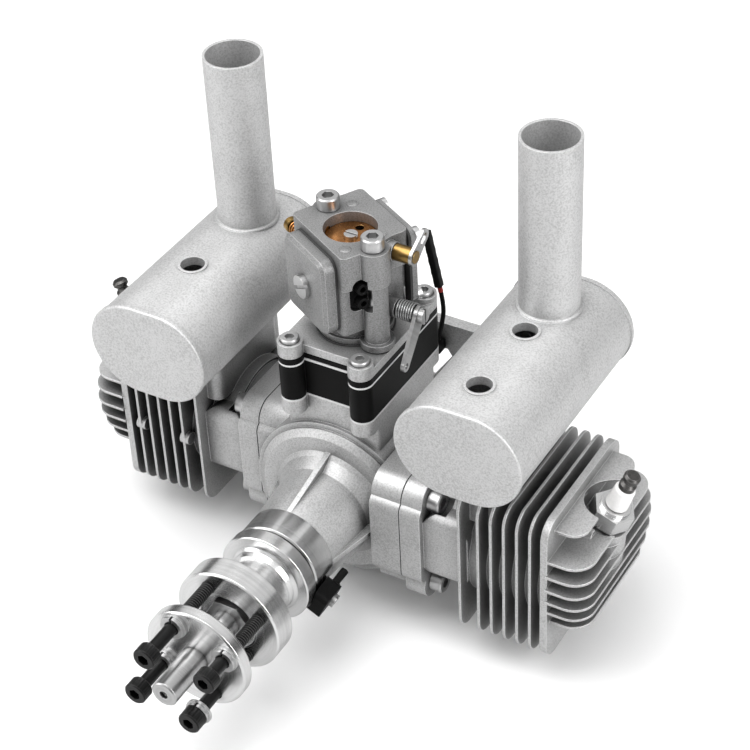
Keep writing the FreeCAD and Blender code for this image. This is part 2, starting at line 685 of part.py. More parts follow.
def carb_body():
    z0 = Z_CARB + BASE_T
    top = carb_top_outline(0, CARB_TOP - 14, CARB_TOP)
    middle = carb_top_outline(2.2, z0 + 7, CARB_TOP - 12)
    barrel = rod(V(0, 0, z0), Z, 12, 12.6)
    foot = rod(V(0, 0, z0), Z, 2.2, 14.0)
    ears = [rod(V(s * CARB_BOLT, 0, CARB_TOP - 14), Z, 14, EAR_R) for s in (-1, 1)]
    columns = [rod(V(s * CARB_BOLT, 0, z0), Z, CARB_TOP - z0 - 10, 4.6) for s in (-1, 1)]
    feet = [rod(V(s * CARB_BOLT, 0, z0), Z, 2.5, EAR_R + 0.5) for s in (-1, 1)]
    body = fuse([top, middle, barrel, foot] + ears + columns + feet)
    low = CARB_TOP - GUIDE_DEEP - 4.6
    pocket = soft_box(GUIDE_A - 0.2, CARB_RIGHT + 4, GUIDE_B - 4.2, GUIDE_B + 3.4, low, low + 14.5, X, 3.0)
    body = cut(body, [pocket])
    body = carb_shape(body)
    hollows = [
        rod(V(0, CARB_Y, CARB_TOP - 16), Z, 17, CARB_BORE_R),
        rod(V(0, CARB_Y, z0 - 1), Z, 40, 7.6),
        rod(V(0, CARB_Y, z0 - 1), Z, THROTTLE_Z + THROTTLE_R + 1.6 - z0, THROTTLE_R),
        rod(V(-13.6, CARB_Y, CHOKE_Z), X, 40, 2.1),
        rod(V(-24, CARB_Y, THROTTLE_Z), X, 45, 2.1),
    ]
    for s in (-1, 1):
        hollows.append(rod(carb_point(s * CARB_BOLT, 0, z0 - 1), Z, 50, M5_R + 0.15))
    hollows.append(idle_hole())
    hub = rod(V(13, CARB_Y, THROTTLE_Z), X, 5.0, 3.6)
    stub = rod(V(-21.2, CARB_Y, THROTTLE_Z), X, 7.0, 3.6)
    collar = rod(V(12, CARB_Y, CHOKE_Z), X, CHOKE_FACE - 12, 3.6)
    body = fuse([body, hub, stub, collar])
    return cut(body, hollows)


def cover_blank(a0, a1, b0, b1, z0, z1, radius):
    return carb_shape(soft_box(a0, a1, b0, b1, z0, z1, Y, radius))


PUMP_T = 5.0
PUMP_SCREW_A = -1.5
PUMP_SCREW_Z = 90.5
COVER_SPOTS = ((-11.5, 79.0), (10.5, 79.0), (-11.5, 104.5), (10.5, 104.5))


def pump_cover():
    inner = COVER_IN - SHEET_T
    plate = soft_box(-15.5, 12.5, inner - PUMP_T, inner, 75.5, 106.0, Y, 4)
    rim = [edge for edge in plate.Edges if all(abs(v.Y - inner + PUMP_T) < 1e-6 for v in edge.Vertexes)]
    plate = plate.makeChamfer(1.2, rim)
    nub = rod(V(-15.2, inner - 2.6, 84.0), Z, 5.0, 1.6)
    hole = rod(V(PUMP_SCREW_A, inner - 8, PUMP_SCREW_Z), Y, 12, 1.6)
    return carb_shape(fuse([plate, nub]).cut(hole))


def metering_cover():
    plate = cover_blank(-14.5, 13.0, COVER_OUT + SHEET_T, COVER_OUT + SHEET_T + 2.0, 76.0, 107.5, 4)
    dish = cover_blank(-10.5, 9.0, COVER_OUT + SHEET_T + 1.9, COVER_OUT + SHEET_T + 3.4, 80.0, 103.5, 7)
    back = carb_point(0, 1, 0).sub(carb_point(0, 0, 0))
    holes = [rod(carb_point(0, COVER_OUT, 91), back, 8, 0.9)]
    holes += [rod(carb_point(a, COVER_OUT, z), back, 8, 1.45) for a, z in COVER_SPOTS]
    return cut(fuse([plate, dish]), holes)


def carb_gaskets():
    front = cover_blank(-15.5, 12.5, COVER_IN - SHEET_T, COVER_IN, 75.2, 106.3, 4)
    rear = cover_blank(-14.5, 13.0, COVER_OUT, COVER_OUT + SHEET_T, 75.7, 107.8, 4)
    hole = carb_shape(rod(V(PUMP_SCREW_A, COVER_IN - 8, PUMP_SCREW_Z), Y, 9, 1.6))
    return [front.cut(hole), rear, carb_foot_gasket()]


SENSOR_TURN = -26.0


def small_screws():
    out = carb_point(0, -1, 0).sub(carb_point(0, 0, 0))
    back = out.negative()
    place = carb_point(PUMP_SCREW_A, COVER_IN - SHEET_T - PUMP_T, PUMP_SCREW_Z)
    screws = [aimed(slotted_screw(1.55, 4.4, 2.0, 4.5), out, place)]
    for a, z in COVER_SPOTS:
        screw = slotted_screw(1.4, 2.6, 2.0, 2.0)
        screws.append(aimed(screw, back, carb_point(a, COVER_OUT + SHEET_T + 2.0, z)))
    return screws


def carb_screws():
    screws = []
    for s in (-1, 1):
        screw = cap_screw(M5_R, M5_HEAD_R, M5_HEAD_H, CARB_TOP - Z_ADAPTER - 0.2)
        screws.append(moved(screw, carb_point(s * CARB_BOLT, 0, CARB_TOP)))
    return screws


def carb_foot_gasket():
    sheet = rod(V(0, 0, Z_CARB), Z, BASE_T, 14.6)
    ears = [rod(V(s * CARB_BOLT, 0, Z_CARB), Z, BASE_T, 5.0) for s in (-1, 1)]
    holes = [rod(V(0, 0, Z_CARB - 1), Z, 3, THROTTLE_R)]
    holes += [rod(V(s * CARB_BOLT, 0, Z_CARB - 1), Z, 3, M5_R + 0.15) for s in (-1, 1)]
    return carb_shape(cut(fuse([sheet] + ears), holes))


def idle_hole():
    out = carb_point(-1, 0, 0).sub(carb_point(0, 0, 0))
    return aimed(rod(V(0, 0, -4.2), Z, 5, 1.55), out, carb_point(TOP_LEFT, IDLE_B, IDLE_Z))


def idle_screw():
    out = carb_point(-1, 0, 0).sub(carb_point(0, 0, 0))
    screw = turned([(0, -4), (1.5, -4), (1.5, 6.2), (2.9, 6.2), (2.9, 8.6), (2.4, 9.2), (0, 9.2)], "z")
    coil = ring(V(0, 0, 0.2), Z, 5.8, 2.7, 1.7)
    place = carb_point(TOP_LEFT, IDLE_B, IDLE_Z)
    return [aimed(screw, out, place), aimed(coil, out, place)]


def needle_guide():
    levels = (CARB_TOP - GUIDE_DEEP, CARB_TOP - GUIDE_DEEP + 6.0)
    block = soft_box(GUIDE_A, CARB_RIGHT - 1, GUIDE_B - 4.0, GUIDE_B + 3.2, levels[0] - 3.1, levels[1] + 3.1, X, 2.5)
    tubes = [rod(V(CARB_RIGHT - 3, GUIDE_B - 0.4, z), X, 5.5, 2.2) for z in levels]
    shape = fuse([block] + tubes)
    shape = cut(shape, [rod(V(CARB_RIGHT - 2, GUIDE_B - 0.4, z), X, 6, 1.2) for z in levels])
    return carb_shape(shape)


def throttle_shaft():
    shaft = rod(V(-22.8, CARB_Y, THROTTLE_Z), X, 22.8 + THROTTLE_X, 2.05)
    flat = box(-THROTTLE_R, THROTTLE_R, CARB_Y - 3, CARB_Y + 3, THROTTLE_Z, THROTTLE_Z + 3)
    clip = rod(V(-22.4, CARB_Y, THROTTLE_Z), X, 1.0, 3.2)
    return fuse([cut(shaft, [flat, disc_screw_hole(THROTTLE_Z)]), clip])


def choke_shaft():
    shaft = rod(V(-13.4, CARB_Y, CHOKE_Z), X, 13.4 + CHOKE_X - 1.2, 2.05)
    flat = box(-CARB_BORE_R, CARB_BORE_R, CARB_Y - 3, CARB_Y + 3, CHOKE_Z, CHOKE_Z + 3)
    sleeve = rod(V(CHOKE_FACE + 0.2, CARB_Y, CHOKE_Z), X, CHOKE_X - 1.4 - CHOKE_FACE, 3.1)
    end = rod(V(CHOKE_X - 1.3, CARB_Y, CHOKE_Z), X, 1.6, 2.3)
    return fuse([cut(shaft, [flat, disc_screw_hole(CHOKE_Z)]), sleeve, end])


def butterfly(radius, z):
    disc = rod(V(0, CARB_Y, z), Z, 0.9, radius)
    return disc.cut(rod(V(0, CARB_Y, z - 1), Z, 3, 1.0))


def choke_disc():
    disc = butterfly(CARB_BORE_R - 0.15, CHOKE_Z)
    return cut(disc, [rod(V(0, CARB_Y + 6.2, CHOKE_Z - 1), Z, 3, 1.6)])


def disc_screw_hole(z):
    return rod(V(0, CARB_Y, z - 0.8), Z, 4, 1.0)


def disc_screw(z):
    return moved(slotted_screw(1.0, 2.5, 1.4, 1.6), V(0, CARB_Y, z + 0.9))


def lever(x, length, angle, thick, wide, narrow, slot):
    # A flat arm in the YZ plane, drawn along +Y and then turned about the shaft
    base = rod(V(0, 0, 0), X, thick, wide)
    tip = rod(V(0, length, 0), X, thick, narrow)
    web = polygon_prism([V(0, 0, -wide * 0.97), V(0, length, -narrow * 0.97), V(0, length, narrow * 0.97),
                         V(0, 0, wide * 0.97)], V(0, 0, 0), V(thick, 0, 0))
    holes = [rod(V(-1, length, 0), X, 4, 1.1)]
    if slot:
        holes.append(box(-1, 3, length - 2.6, length, -1.1, 1.1))
        holes.append(rod(V(-1, length - 2.6, 0), X, 4, 1.1))
    holes.append(rod(V(-1, 0, 0), X, 4, 2.06 if not slot else 2.31))
    arm = cut(fuse([base, tip, web]), holes)
    arm = spun(arm, angle, X)
    return arm


def throttle_lever():
    arm = lever(THROTTLE_X, 18.9, -126.0, 1.4, 3.6, 2.3, False)
    return moved(arm, V(THROTTLE_X - 1.4, CARB_Y, THROTTLE_Z))


def throttle_screws():
    screw = slotted_screw(1.5, 3.0, 2.0, 0.0)
    return [aimed(screw, X, V(THROTTLE_X, CARB_Y, THROTTLE_Z)), disc_screw(THROTTLE_Z)]


def choke_lever():
    arm = lever(CHOKE_X, 8.6, 33.0, 1.2, 3.4, 2.6, True)
    return moved(arm, V(CHOKE_X - 1.2, CARB_Y, CHOKE_Z))


def throttle_spring():
    coil = ring(V(18.3, CARB_Y, THROTTLE_Z), X, THROTTLE_X - 1.8 - 18.3, 3.9, 2.9)
    tail = rod(V(18.6, CARB_Y + 3.4, THROTTLE_Z + 0.5), Z, 7.5, 0.45)
    return fuse([coil, tail])


# Ignition pickup on the nose, and the lead that stands up behind the carburettor

def sensor():
    body = soft_box(NOSE_R + 0.05, NOSE_R + 6.0, -118.5, -107.5, -5.5, 5.5, X, 2.0)
    body = body.cut(rod(V(0, -125, 0), Y, 9.4, 18.6))
    prongs = [rod(V(NOSE_R + 3.2, -108, s * 3.0), V(0, 1, 0.25 * s), 7.0, 1.5) for s in (-1, 1)]
    body = fuse([body] + prongs)
    body = body.cut(rod(V(NOSE_R - 1, -111.5, 0), X, 12, 1.5))
    return spun(body, -SENSOR_TURN, Y)


def sensor_screw():
    screw = slotted_screw(1.45, 2.6, 1.6, 5.9)
    screw = aimed(screw, X, V(NOSE_R + 6.0, -111.5, 0))
    return spun(screw, -SENSOR_TURN, Y)


LEAD_R = 0.9
LEAD = [V(9.2, -8.4, 31.6), V(11.7, -8.6, 41.4), V(13.4, -9.0, 52.3), V(11.1, -9.0, 61.3)]
PLUG_TOP = V(6.5, -9.0, 83.5)


def lead_tube():
    edges = []
    radii = []
    start = LEAD[0]
    turns = []
    for a, b, c in zip(LEAD, LEAD[1:], LEAD[2:]):
        into = b.sub(a).normalize()
        out = c.sub(b).normalize()
        half = math.acos(max(-1, min(1, into.dot(out)))) / 2
        radius = 0.45 * min(b.sub(a).Length, c.sub(b).Length) / math.tan(half)
        reach = radius * math.tan(half)
        enter = b.sub(V(into) * reach)
        leave = b.add(V(out) * reach)
        centre_way = out.sub(into).normalize()
        centre = b.add(centre_way * (radius / math.cos(half)))
        middle = centre.sub(centre_way * radius)
        edges.append(Part.makeLine(start, enter))
        edges.append(Part.Arc(enter, middle, leave).toShape())
        radii.append(radius)
        turns.append(math.degrees(half * 2))
        start = leave
    edges.append(Part.makeLine(start, LEAD[-1]))
    print("lead radii", [round(r, 1) for r in radii], "turns", [round(t, 1) for t in turns])
    wire = Part.Wire(edges)
    print("lead length", round(wire.Length, 2))
    first = LEAD[1].sub(LEAD[0])
    profile = Part.Wire(Part.makeCircle(LEAD_R, LEAD[0], first))
    return wire.makePipeShell([profile], True, True)


def lead_connector():
    way = PLUG_TOP.sub(LEAD[-1])
    block = soft_box(-1.6, 1.6, -1.5, 1.5, -1.2, way.Length, Z, 0.4)
    return aimed(block.cut(rod(V(0, 0, -2), Z, 2.1, LEAD_R + 0.1)), way, LEAD[-1])


def lead_clip():
    # A small nylon clip on the mount's top bar that the lead comes out of
    x = LEAD[0].x
    z = LEAD[0].z
    clip = soft_box(x - 2, x + 2, -MOUNT_T - 5.6, -MOUNT_T, z - 3.0, z + 1.6, X, 1.0)
    way = LEAD[1].sub(LEAD[0])
    return clip.cut(rod(LEAD[0].sub(V(way).normalize() * 0.1), way, 5, LEAD_R + 0.1))


# Crankshaft and everything that turns with it

def crankshaft():
    front = turned_y([(0, SHAFT_TIP), (SHAFT_R - 0.5, SHAFT_TIP), (SHAFT_R, SHAFT_TIP + 0.5), (SHAFT_R, -140),
                      (MAIN_R, -140), (MAIN_R, -70.5), (11, -70.5), (11, -70.0), (WEB_R - 0.6, -70.0), (WEB_R, -69.4),
                      (WEB_R, Y_RIGHT - ROD_HALF - WEB_GAP), (0, Y_RIGHT - ROD_HALF - WEB_GAP)])
    front = front.cut(rod(V(0, SHAFT_TIP - 1, 0), Y, 16, 1.65))
    middle = rod(V(0, Y_RIGHT + ROD_HALF + WEB_GAP, 0), Y, Y_LEFT - Y_RIGHT - 2 * (ROD_HALF + WEB_GAP), WEB_R)
    rear = turned_y([(0, Y_LEFT + ROD_HALF + WEB_GAP), (WEB_R, Y_LEFT + ROD_HALF + WEB_GAP), (WEB_R, -32.6),
                     (WEB_R - 0.6, -32), (11, -32), (11, -31.3), (MAIN_R, -31.3), (MAIN_R, -21.5), (0, -21.5)])
    return [front, middle, rear]


NUT_SEAT = 4.5
NUT_RECESS_R = 11.2
HUB_NECK_R = 12.2
HUB_R = 21.0
COLLAR_R = 18.2
SHOULDER_Y = -140.0


def prop_hub():
    step = HUB_BACK - 6.0
    back = HUB_FRONT + 9.2
    body = turned_y([(MAIN_R, HUB_BACK), (COLLAR_R - 0.6, HUB_BACK), (COLLAR_R, HUB_BACK - 0.6),
                     (COLLAR_R, step + 0.4), (COLLAR_R - 0.4, step), (14.0, step), (12.9, step - 1.0),
                     (HUB_NECK_R, step - 3.0), (HUB_NECK_R, back + 1.8), (13.0, back + 1.0),
                     (HUB_R - 0.8, back + 0.6), (HUB_R, back), (HUB_R, HUB_FRONT + 0.6),
                     (HUB_R - 0.6, HUB_FRONT), (NUT_RECESS_R, HUB_FRONT), (NUT_RECESS_R, HUB_FRONT + NUT_SEAT),
                     (SHAFT_R, HUB_FRONT + NUT_SEAT), (SHAFT_R, SHOULDER_Y), (MAIN_R, SHOULDER_Y)])
    return cut(body, prop_holes(HUB_FRONT - 1, 12, M5_R + 0.1))


def prop_spots():
    spots = []
    for k in range(4):
        a = math.radians(PROP_TURN + 90 * k)
        spots.append((PROP_PCD / 2 * math.cos(a), PROP_PCD / 2 * math.sin(a)))
    return spots


def prop_holes(y0, length, radius):
    return [rod(V(x, y0, z), Y, length, radius) for x, z in prop_spots()]


def hub_nut():
    nut = hexagon(16.0, 5.0).cut(rod(V(0, 0, -1), Z, 8, SHAFT_R))
    return aimed(nut, Y.negative(), V(0, HUB_FRONT + NUT_SEAT, 0))


def prop_plate():
    body = turned_y([(SHAFT_R + 0.15, PLATE_FRONT), (19.7, PLATE_FRONT), (20.3, PLATE_FRONT + 0.6),
                     (20.3, PLATE_FRONT + PLATE_T - 0.6), (19.7, PLATE_FRONT + PLATE_T),
                     (SHAFT_R + 0.15, PLATE_FRONT + PLATE_T)])
    return cut(body, prop_holes(PLATE_FRONT - 1, PLATE_T + 2, M5_R + 0.35))


HEAD_STANDS = (14.3, 19.3, 18.8, 16.8)
HEAD_FRONTS = [PLATE_FRONT - stand for stand in HEAD_STANDS]
PROP_SCREW_L = 40.0


def prop_screws():
    screws = []
    for (x, z), y in zip(prop_spots(), HEAD_FRONTS):
        screw = cap_screw(M5_R, M5_HEAD_R, M5_HEAD_H, PROP_SCREW_L)
        screws.append(aimed(screw, Y.negative(), V(x, y + M5_HEAD_H, z)))
    return screws


def washer_pair(x, z, y):
    # y is the rear face of the flat washer, the spring washer lies in front of it
    flat = ring(V(x, y - 1.0, z), Y, 1.0, 5.0, M5_R + 0.35)
    split = ring(V(x, y - 2.3, z), Y, 1.3, 4.5, M5_R + 0.35)
    split = split.cut(box(x - 0.4, x + 0.4, y - 3, y, z, z + 6))
    return [flat, split]


def prop_washers():
    shapes = []
    for x, z in prop_spots()[:3]:
        shapes += washer_pair(x, z, PLATE_FRONT)
    return shapes


def loose_washers():
    x, z = prop_spots()[3]
    return washer_pair(x, z, HEAD_FRONTS[3] + M5_HEAD_H + 2.3)


# Pistons and rods at top dead centre, drawn on the right side

PIN_X = CROWN - PIN_TO_CROWN
PIN_R = 5.0
BIG_R = 9.3
CRANKPIN_R = 5.2


def piston():
    base = CROWN - PISTON_L
    body = rod(V(base, 0, 0), X, PISTON_L, BORE_R - PISTON_GAP)
    body = body.cut(rod(V(base - 1, 0, 0), X, PISTON_L - 3.5, 17.2))
    bosses = [rod(V(PIN_X, s * 5.8, 0), V(0, s, 0), 11.6, 8.0) for s in (-1, 1)]
    body = fuse([body] + bosses)
    cuts = [rod(V(PIN_X, -25, 0), Y, 50, PIN_R)]
    for k in range(2):
        cuts.append(ring(V(CROWN - 4.2 - 4.2 * k, 0, 0), X, 1.6, BORE_R + 1, BORE_R - 1.9))
    outside = ring(V(base - 1, 0, 0), X, PISTON_L + 2, BORE_R + 3, BORE_R - PISTON_GAP)
    return cut(body, cuts + [outside])


def piston_rings():
    rings = []
    for k in range(2):
        band = ring(V(CROWN - 4.2 - 4.2 * k, 0, 0), X, 1.6, BORE_R - 0.03, BORE_R - 1.9)
        rings.append(band.cut(box(CROWN - 10, CROWN, -0.2, 0.2, 10, 25)))
    return Part.makeCompound(rings)


def wrist_pin():
    return ring(V(PIN_X, -16.5, 0), Y, 33, PIN_R, 2.8)


def con_rod():
    small = rod(V(PIN_X, -4.6, 0), Y, 9.2, 7.4)
    big = rod(V(CRANK_R, -ROD_HALF, 0), Y, 2 * ROD_HALF, BIG_R)
    shank = polygon_prism([V(CRANK_R + 5, -2.5, -5.2), V(PIN_X - 4, -2.5, -4.2), V(PIN_X - 4, -2.5, 4.2),
                           V(CRANK_R + 5, -2.5, 5.2)], V(0, 0, 0), V(0, 5, 0))
    body = fuse([small, big, shank])
    cuts = [rod(V(PIN_X, -6, 0), Y, 12, PIN_R + RUN_GAP), rod(V(CRANK_R, -6, 0), Y, 12, CRANKPIN_R + 2.0)]
    for s in (-1, 1):
        groove = polygon_prism([V(CRANK_R + 12, 0, -2.8), V(PIN_X - 10, 0, -2.0), V(PIN_X - 10, 0, 2.0),
                                V(CRANK_R + 12, 0, 2.8)], V(0, 1.4 if s == 1 else -2.6, 0), V(0, 1.2, 0))
        cuts.append(groove)
    return cut(body, cuts)


def crank_pin():
    pin = rod(V(CRANK_R, -ROD_HALF, 0), Y, 2 * ROD_HALF, CRANKPIN_R)
    sleeve = ring(V(CRANK_R, -ROD_HALF + 0.4, 0), Y, 2 * ROD_HALF - 0.8, CRANKPIN_R + 2.0, CRANKPIN_R)
    return Part.makeCompound([pin, sleeve])


def save_pair(name, make):
    right, left = both_sides(make)
    save(name + "_right", right)
    save(name + "_left", left)


def save_both(name, make):
    right, left = both_sides(make)
    save(name, [right, left])


save("crankcase", crankcase())
save("nose_ring", nose_ring())
save("main_bearings", crank_bearings())
save("nose_seal", nose_seal())
save_pair("cylinder", cylinder)
save_both("base_gaskets", base_gasket)
save_both("cylinder_screws", cylinder_screws)
save_both("plug_shells", plug_shell)
save_both("plug_insulators", plug_insulator)
save_both("plug_terminals", plug_terminal)
save("muffler_right", muffler(Y_RIGHT, (Y_RIGHT - MUFF_BOLT_Y, Y_RIGHT + MUFF_BOLT_Y)))
left_can = [spun(shape, 180, Z) for shape in muffler(Y_LEFT, (Y_LEFT - MUFF_BOLT_Y,))]
save("muffler_left", [shape.mirror(V(0, 0, 0), Y) for shape in left_can])
save_both("exhaust_gaskets", exhaust_gasket)
save_both("muffler_screws", muffler_screws)
save("intake_lines", [stack_sheet(STACK_Z, Z_BLOCK), stack_sheet(Z_LINE, Z_SPACER)])
save("intake_block", intake_block())
save("reed_block", reed_block())
save("reed_petals", reed_petals())
save("intake_spacer", stack_sheet(Z_SPACER, Z_ADAPTER, 2.4))
save("adapter_plate", adapter_plate())
save("adapter_screws", adapter_screws())
save("carb_body", carb_body())
save("pump_cover", pump_cover())
save("metering_cover", metering_cover())
save("carb_gaskets", carb_gaskets())
save("small_screws", small_screws() + [sensor_screw()])
save("carb_screws", carb_screws())
save("idle_screw", idle_screw())
save("needle_guide", needle_guide())
save("throttle_shaft", throttle_shaft())
save("throttle_disc", butterfly(THROTTLE_R - 0.15, THROTTLE_Z))
save("throttle_lever", throttle_lever())
save("throttle_screws", throttle_screws())
save("throttle_spring", throttle_spring())
save("choke_shaft", choke_shaft())
save("choke_disc", choke_disc())
save("choke_lever", choke_lever())
save("choke_screw", disc_screw(CHOKE_Z))
save("sensor", sensor())
save("pickup_lead", lead_tube())
save("lead_connector", lead_connector())
save("lead_clip", lead_clip())
save("crankshaft", crankshaft())
save("prop_hub", prop_hub())
save("hub_nut", hub_nut())
save("prop_plate", prop_plate())
save("prop_screws", prop_screws())
save("prop_washers", prop_washers())
save("loose_washers", loose_washers())
save_pair("piston", piston)
save_pair("piston_rings", piston_rings)
save_pair("wrist_pin", wrist_pin)
save_pair("con_rod", con_rod)
save_pair("crank_pin", crank_pin)
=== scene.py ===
# %% [markdown]
# # A flat twin aircraft engine, dressed for its portrait
# The solid model of the engine is already packed: it is loaded here and never moved. Each of its
# nodes keeps its shape and gets a finish. A few pieces that the solid model keeps plain, such as
# coil springs and screw threads, are modelled here and put in the place of their plain solids.

# %% Load the engine
import json
import math

import bmesh
import bpy
from mathutils import Matrix, Vector


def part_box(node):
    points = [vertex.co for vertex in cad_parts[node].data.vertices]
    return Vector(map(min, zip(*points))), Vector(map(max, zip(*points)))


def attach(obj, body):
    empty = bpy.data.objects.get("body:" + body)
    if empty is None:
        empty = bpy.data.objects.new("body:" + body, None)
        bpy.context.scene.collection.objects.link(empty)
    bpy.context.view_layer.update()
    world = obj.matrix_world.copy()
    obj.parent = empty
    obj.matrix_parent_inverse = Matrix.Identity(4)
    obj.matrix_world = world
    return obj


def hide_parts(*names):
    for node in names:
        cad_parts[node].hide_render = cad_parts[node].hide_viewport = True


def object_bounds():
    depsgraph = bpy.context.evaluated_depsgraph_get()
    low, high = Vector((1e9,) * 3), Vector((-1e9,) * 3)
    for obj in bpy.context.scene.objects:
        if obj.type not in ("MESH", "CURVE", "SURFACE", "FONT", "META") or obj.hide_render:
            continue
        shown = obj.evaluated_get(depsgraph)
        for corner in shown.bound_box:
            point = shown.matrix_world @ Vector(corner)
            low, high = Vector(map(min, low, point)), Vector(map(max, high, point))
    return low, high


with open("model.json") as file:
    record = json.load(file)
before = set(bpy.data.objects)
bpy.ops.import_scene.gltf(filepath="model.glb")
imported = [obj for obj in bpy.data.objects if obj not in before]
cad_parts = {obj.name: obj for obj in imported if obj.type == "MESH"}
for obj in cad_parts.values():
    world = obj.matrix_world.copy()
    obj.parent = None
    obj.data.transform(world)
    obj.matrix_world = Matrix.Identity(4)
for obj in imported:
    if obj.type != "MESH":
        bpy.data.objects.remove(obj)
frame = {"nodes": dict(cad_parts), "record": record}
nodes = frame["nodes"]
cad_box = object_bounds()
MM = 0.001

# %% [markdown]
# ## The camera
# The engine is seen from its front right corner, from well above. The angles, the distance and the
# slight roll were solved from the round and straight edges of the engine itself. A camera needs a
# turn matrix, so its three axes are built from the angles: right, up and backwards.

# %% Place the camera
AZIMUTH = math.radians(31.78)
ELEVATION = math.radians(37.84)
ROLL = math.radians(-3.07)
FOCAL_PIXELS = 2132.27
FRAME_PIXELS = 750
SENSOR_WIDTH = 36
EYE = Vector((333.0, -577.4, 526.5)) * MM


def place_camera():
    back = Vector((math.sin(AZIMUTH) * math.cos(ELEVATION),
                   -math.cos(AZIMUTH) * math.cos(ELEVATION), math.sin(ELEVATION)))
    level = Vector((math.cos(AZIMUTH), math.sin(AZIMUTH), 0))
    upright = back.cross(level)
    right = math.cos(ROLL) * level + math.sin(ROLL) * upright
    up = math.cos(ROLL) * upright - math.sin(ROLL) * level
    turn = Matrix((right, up, back)).transposed().to_4x4()
    lens = bpy.data.cameras.new("camera")
    lens.sensor_width = SENSOR_WIDTH
    lens.lens = FOCAL_PIXELS / FRAME_PIXELS * SENSOR_WIDTH
    lens.clip_start = 0.01
    eye = bpy.data.objects.new("camera", lens)
    eye.matrix_world = Matrix.Translation(EYE) @ turn
    bpy.context.scene.collection.objects.link(eye)
    bpy.context.scene.camera = eye


place_camera()

# %% [markdown]
# ## The room
# Studio metal is lit by large soft lamps, because metal shows what stands round it. The world is
# white to the camera only. What lights the engine is a grey sky, dark just above the horizon and
# bright overhead, which gives turned metal its bands. The floor is pale and keeps the shadow.

# %% Light the room
SKY = ((0.0, 0.45), (0.48, 0.40), (0.52, 0.05), (0.66, 0.08), (0.73, 0.58), (0.86, 0.74), (1.0, 0.84))
LAMP_AIM = Vector((0, -0.06, 0))
LAMPS = {"lamp_top": ((-0.25, -0.25, 0.95), (0.9, 0.9), 9),
         "lamp_left": ((-0.85, -0.75, 0.35), (0.5, 0.9), 3.5),
         "lamp_right": ((0.95, -0.25, 0.45), (0.35, 0.8), 6)}
FLOOR_GAP = 0.0005
FLOOR_HALF = 3.0


def put(tree, kind, **values):
    """Adds one shader node and sets its properties."""
    node = tree.nodes.new("ShaderNode" + kind)
    for key, value in values.items():
        setattr(node, key, value)
    return node


def join(tree, *pairs):
    for a, b in pairs:
        tree.links.new(a, b)


def soft_lamp(name, place, size, power):
    data = bpy.data.lights.new(name, "AREA")
    data.shape = "RECTANGLE"
    data.size, data.size_y = size
    data.energy = power
    lamp = bpy.data.objects.new(name, data)
    lamp.location = place
    lamp.rotation_euler = (LAMP_AIM - Vector(place)).to_track_quat("-Z", "Y").to_euler()
    bpy.context.scene.collection.objects.link(lamp)


def room_world():
    """A sky whose grey follows the height of the direction, and plain white for the camera."""
    world = bpy.data.worlds.new("room")
    bpy.context.scene.world = world
    world.use_nodes = True
    tree = world.node_tree
    tree.nodes.clear()
    out = put(tree, "OutputWorld")
    paths = put(tree, "LightPath")
    way = put(tree, "TexCoord")
    parts = put(tree, "SeparateXYZ")
    height = put(tree, "MapRange")
    height.inputs["From Min"].default_value = -1.0
    ramp = put(tree, "ValToRGB")
    while len(ramp.color_ramp.elements) < len(SKY):
        ramp.color_ramp.elements.new(0.5)
    for element, (level, value) in zip(ramp.color_ramp.elements, SKY):
        element.position = level
        element.color = (value, value, value, 1)
    sky = put(tree, "Background")
    white = put(tree, "Background")
    white.inputs["Color"].default_value = (1, 1, 1, 1)
    mix = put(tree, "MixShader")
    join(tree, (way.outputs["Generated"], parts.inputs[0]), (parts.outputs["Z"], height.inputs["Value"]),
         (height.outputs["Result"], ramp.inputs[0]), (ramp.outputs["Color"], sky.inputs["Color"]),
         (paths.outputs["Is Camera Ray"], mix.inputs[0]), (sky.outputs[0], mix.inputs[1]),
         (white.outputs[0], mix.inputs[2]), (mix.outputs[0], out.inputs["Surface"]))


def make_floor(level):
    mesh = bpy.data.meshes.new("floor")
    bm = bmesh.new()
    bmesh.ops.create_grid(bm, x_segments=1, y_segments=1, size=FLOOR_HALF)
    bmesh.ops.translate(bm, vec=(0, 0, level), verts=bm.verts)
    bm.to_mesh(mesh)
    bm.free()
    piece = bpy.data.objects.new("floor", mesh)
    bpy.context.scene.collection.objects.link(piece)
    return piece


bpy.context.scene.view_settings.view_transform = "Standard"
room_world()
for lamp_name, lamp in LAMPS.items():
    soft_lamp(lamp_name, *lamp)
ground = make_floor(cad_box[0][2] - FLOOR_GAP)

# %% [markdown]
# ## Effects that several finishes share
# Three shader node groups are built once: the bright line along an edge, partly wear and partly a
# painted highlight, the sandy skin of a casting with painted shade in its hollows, and the fine rings
# of a lathe. Each has named inputs, so that every finish can use it with its own values.

# %% Helpers for node groups
COLOR, FLOAT, VECTOR = "NodeSocketColor", "NodeSocketFloat", "NodeSocketVector"


def new_group(name, inputs, outputs):
    """A node group with named sockets, its input node and its output node."""
    group = bpy.data.node_groups.new(name, "ShaderNodeTree")
    for label, kind, value in inputs:
        socket = group.interface.new_socket(name=label, in_out="INPUT", socket_type=kind)
        socket.default_value = value
    for label, kind in outputs:
        group.interface.new_socket(name=label, in_out="OUTPUT", socket_type=kind)
    return group, group.nodes.new("NodeGroupInput"), group.nodes.new("NodeGroupOutput")


def mix_color(tree, blend="MIX"):
    """A colour mix: its factor, its two colours and its result."""
    node = put(tree, "Mix", data_type="RGBA", blend_type=blend)
    return node.inputs[0], node.inputs[6], node.inputs[7], node.outputs[2]


# %% The bright edge line: partly wear, partly painted highlight
EDGE_STARTS = 0.995
EDGE_IS_FULL = 0.85


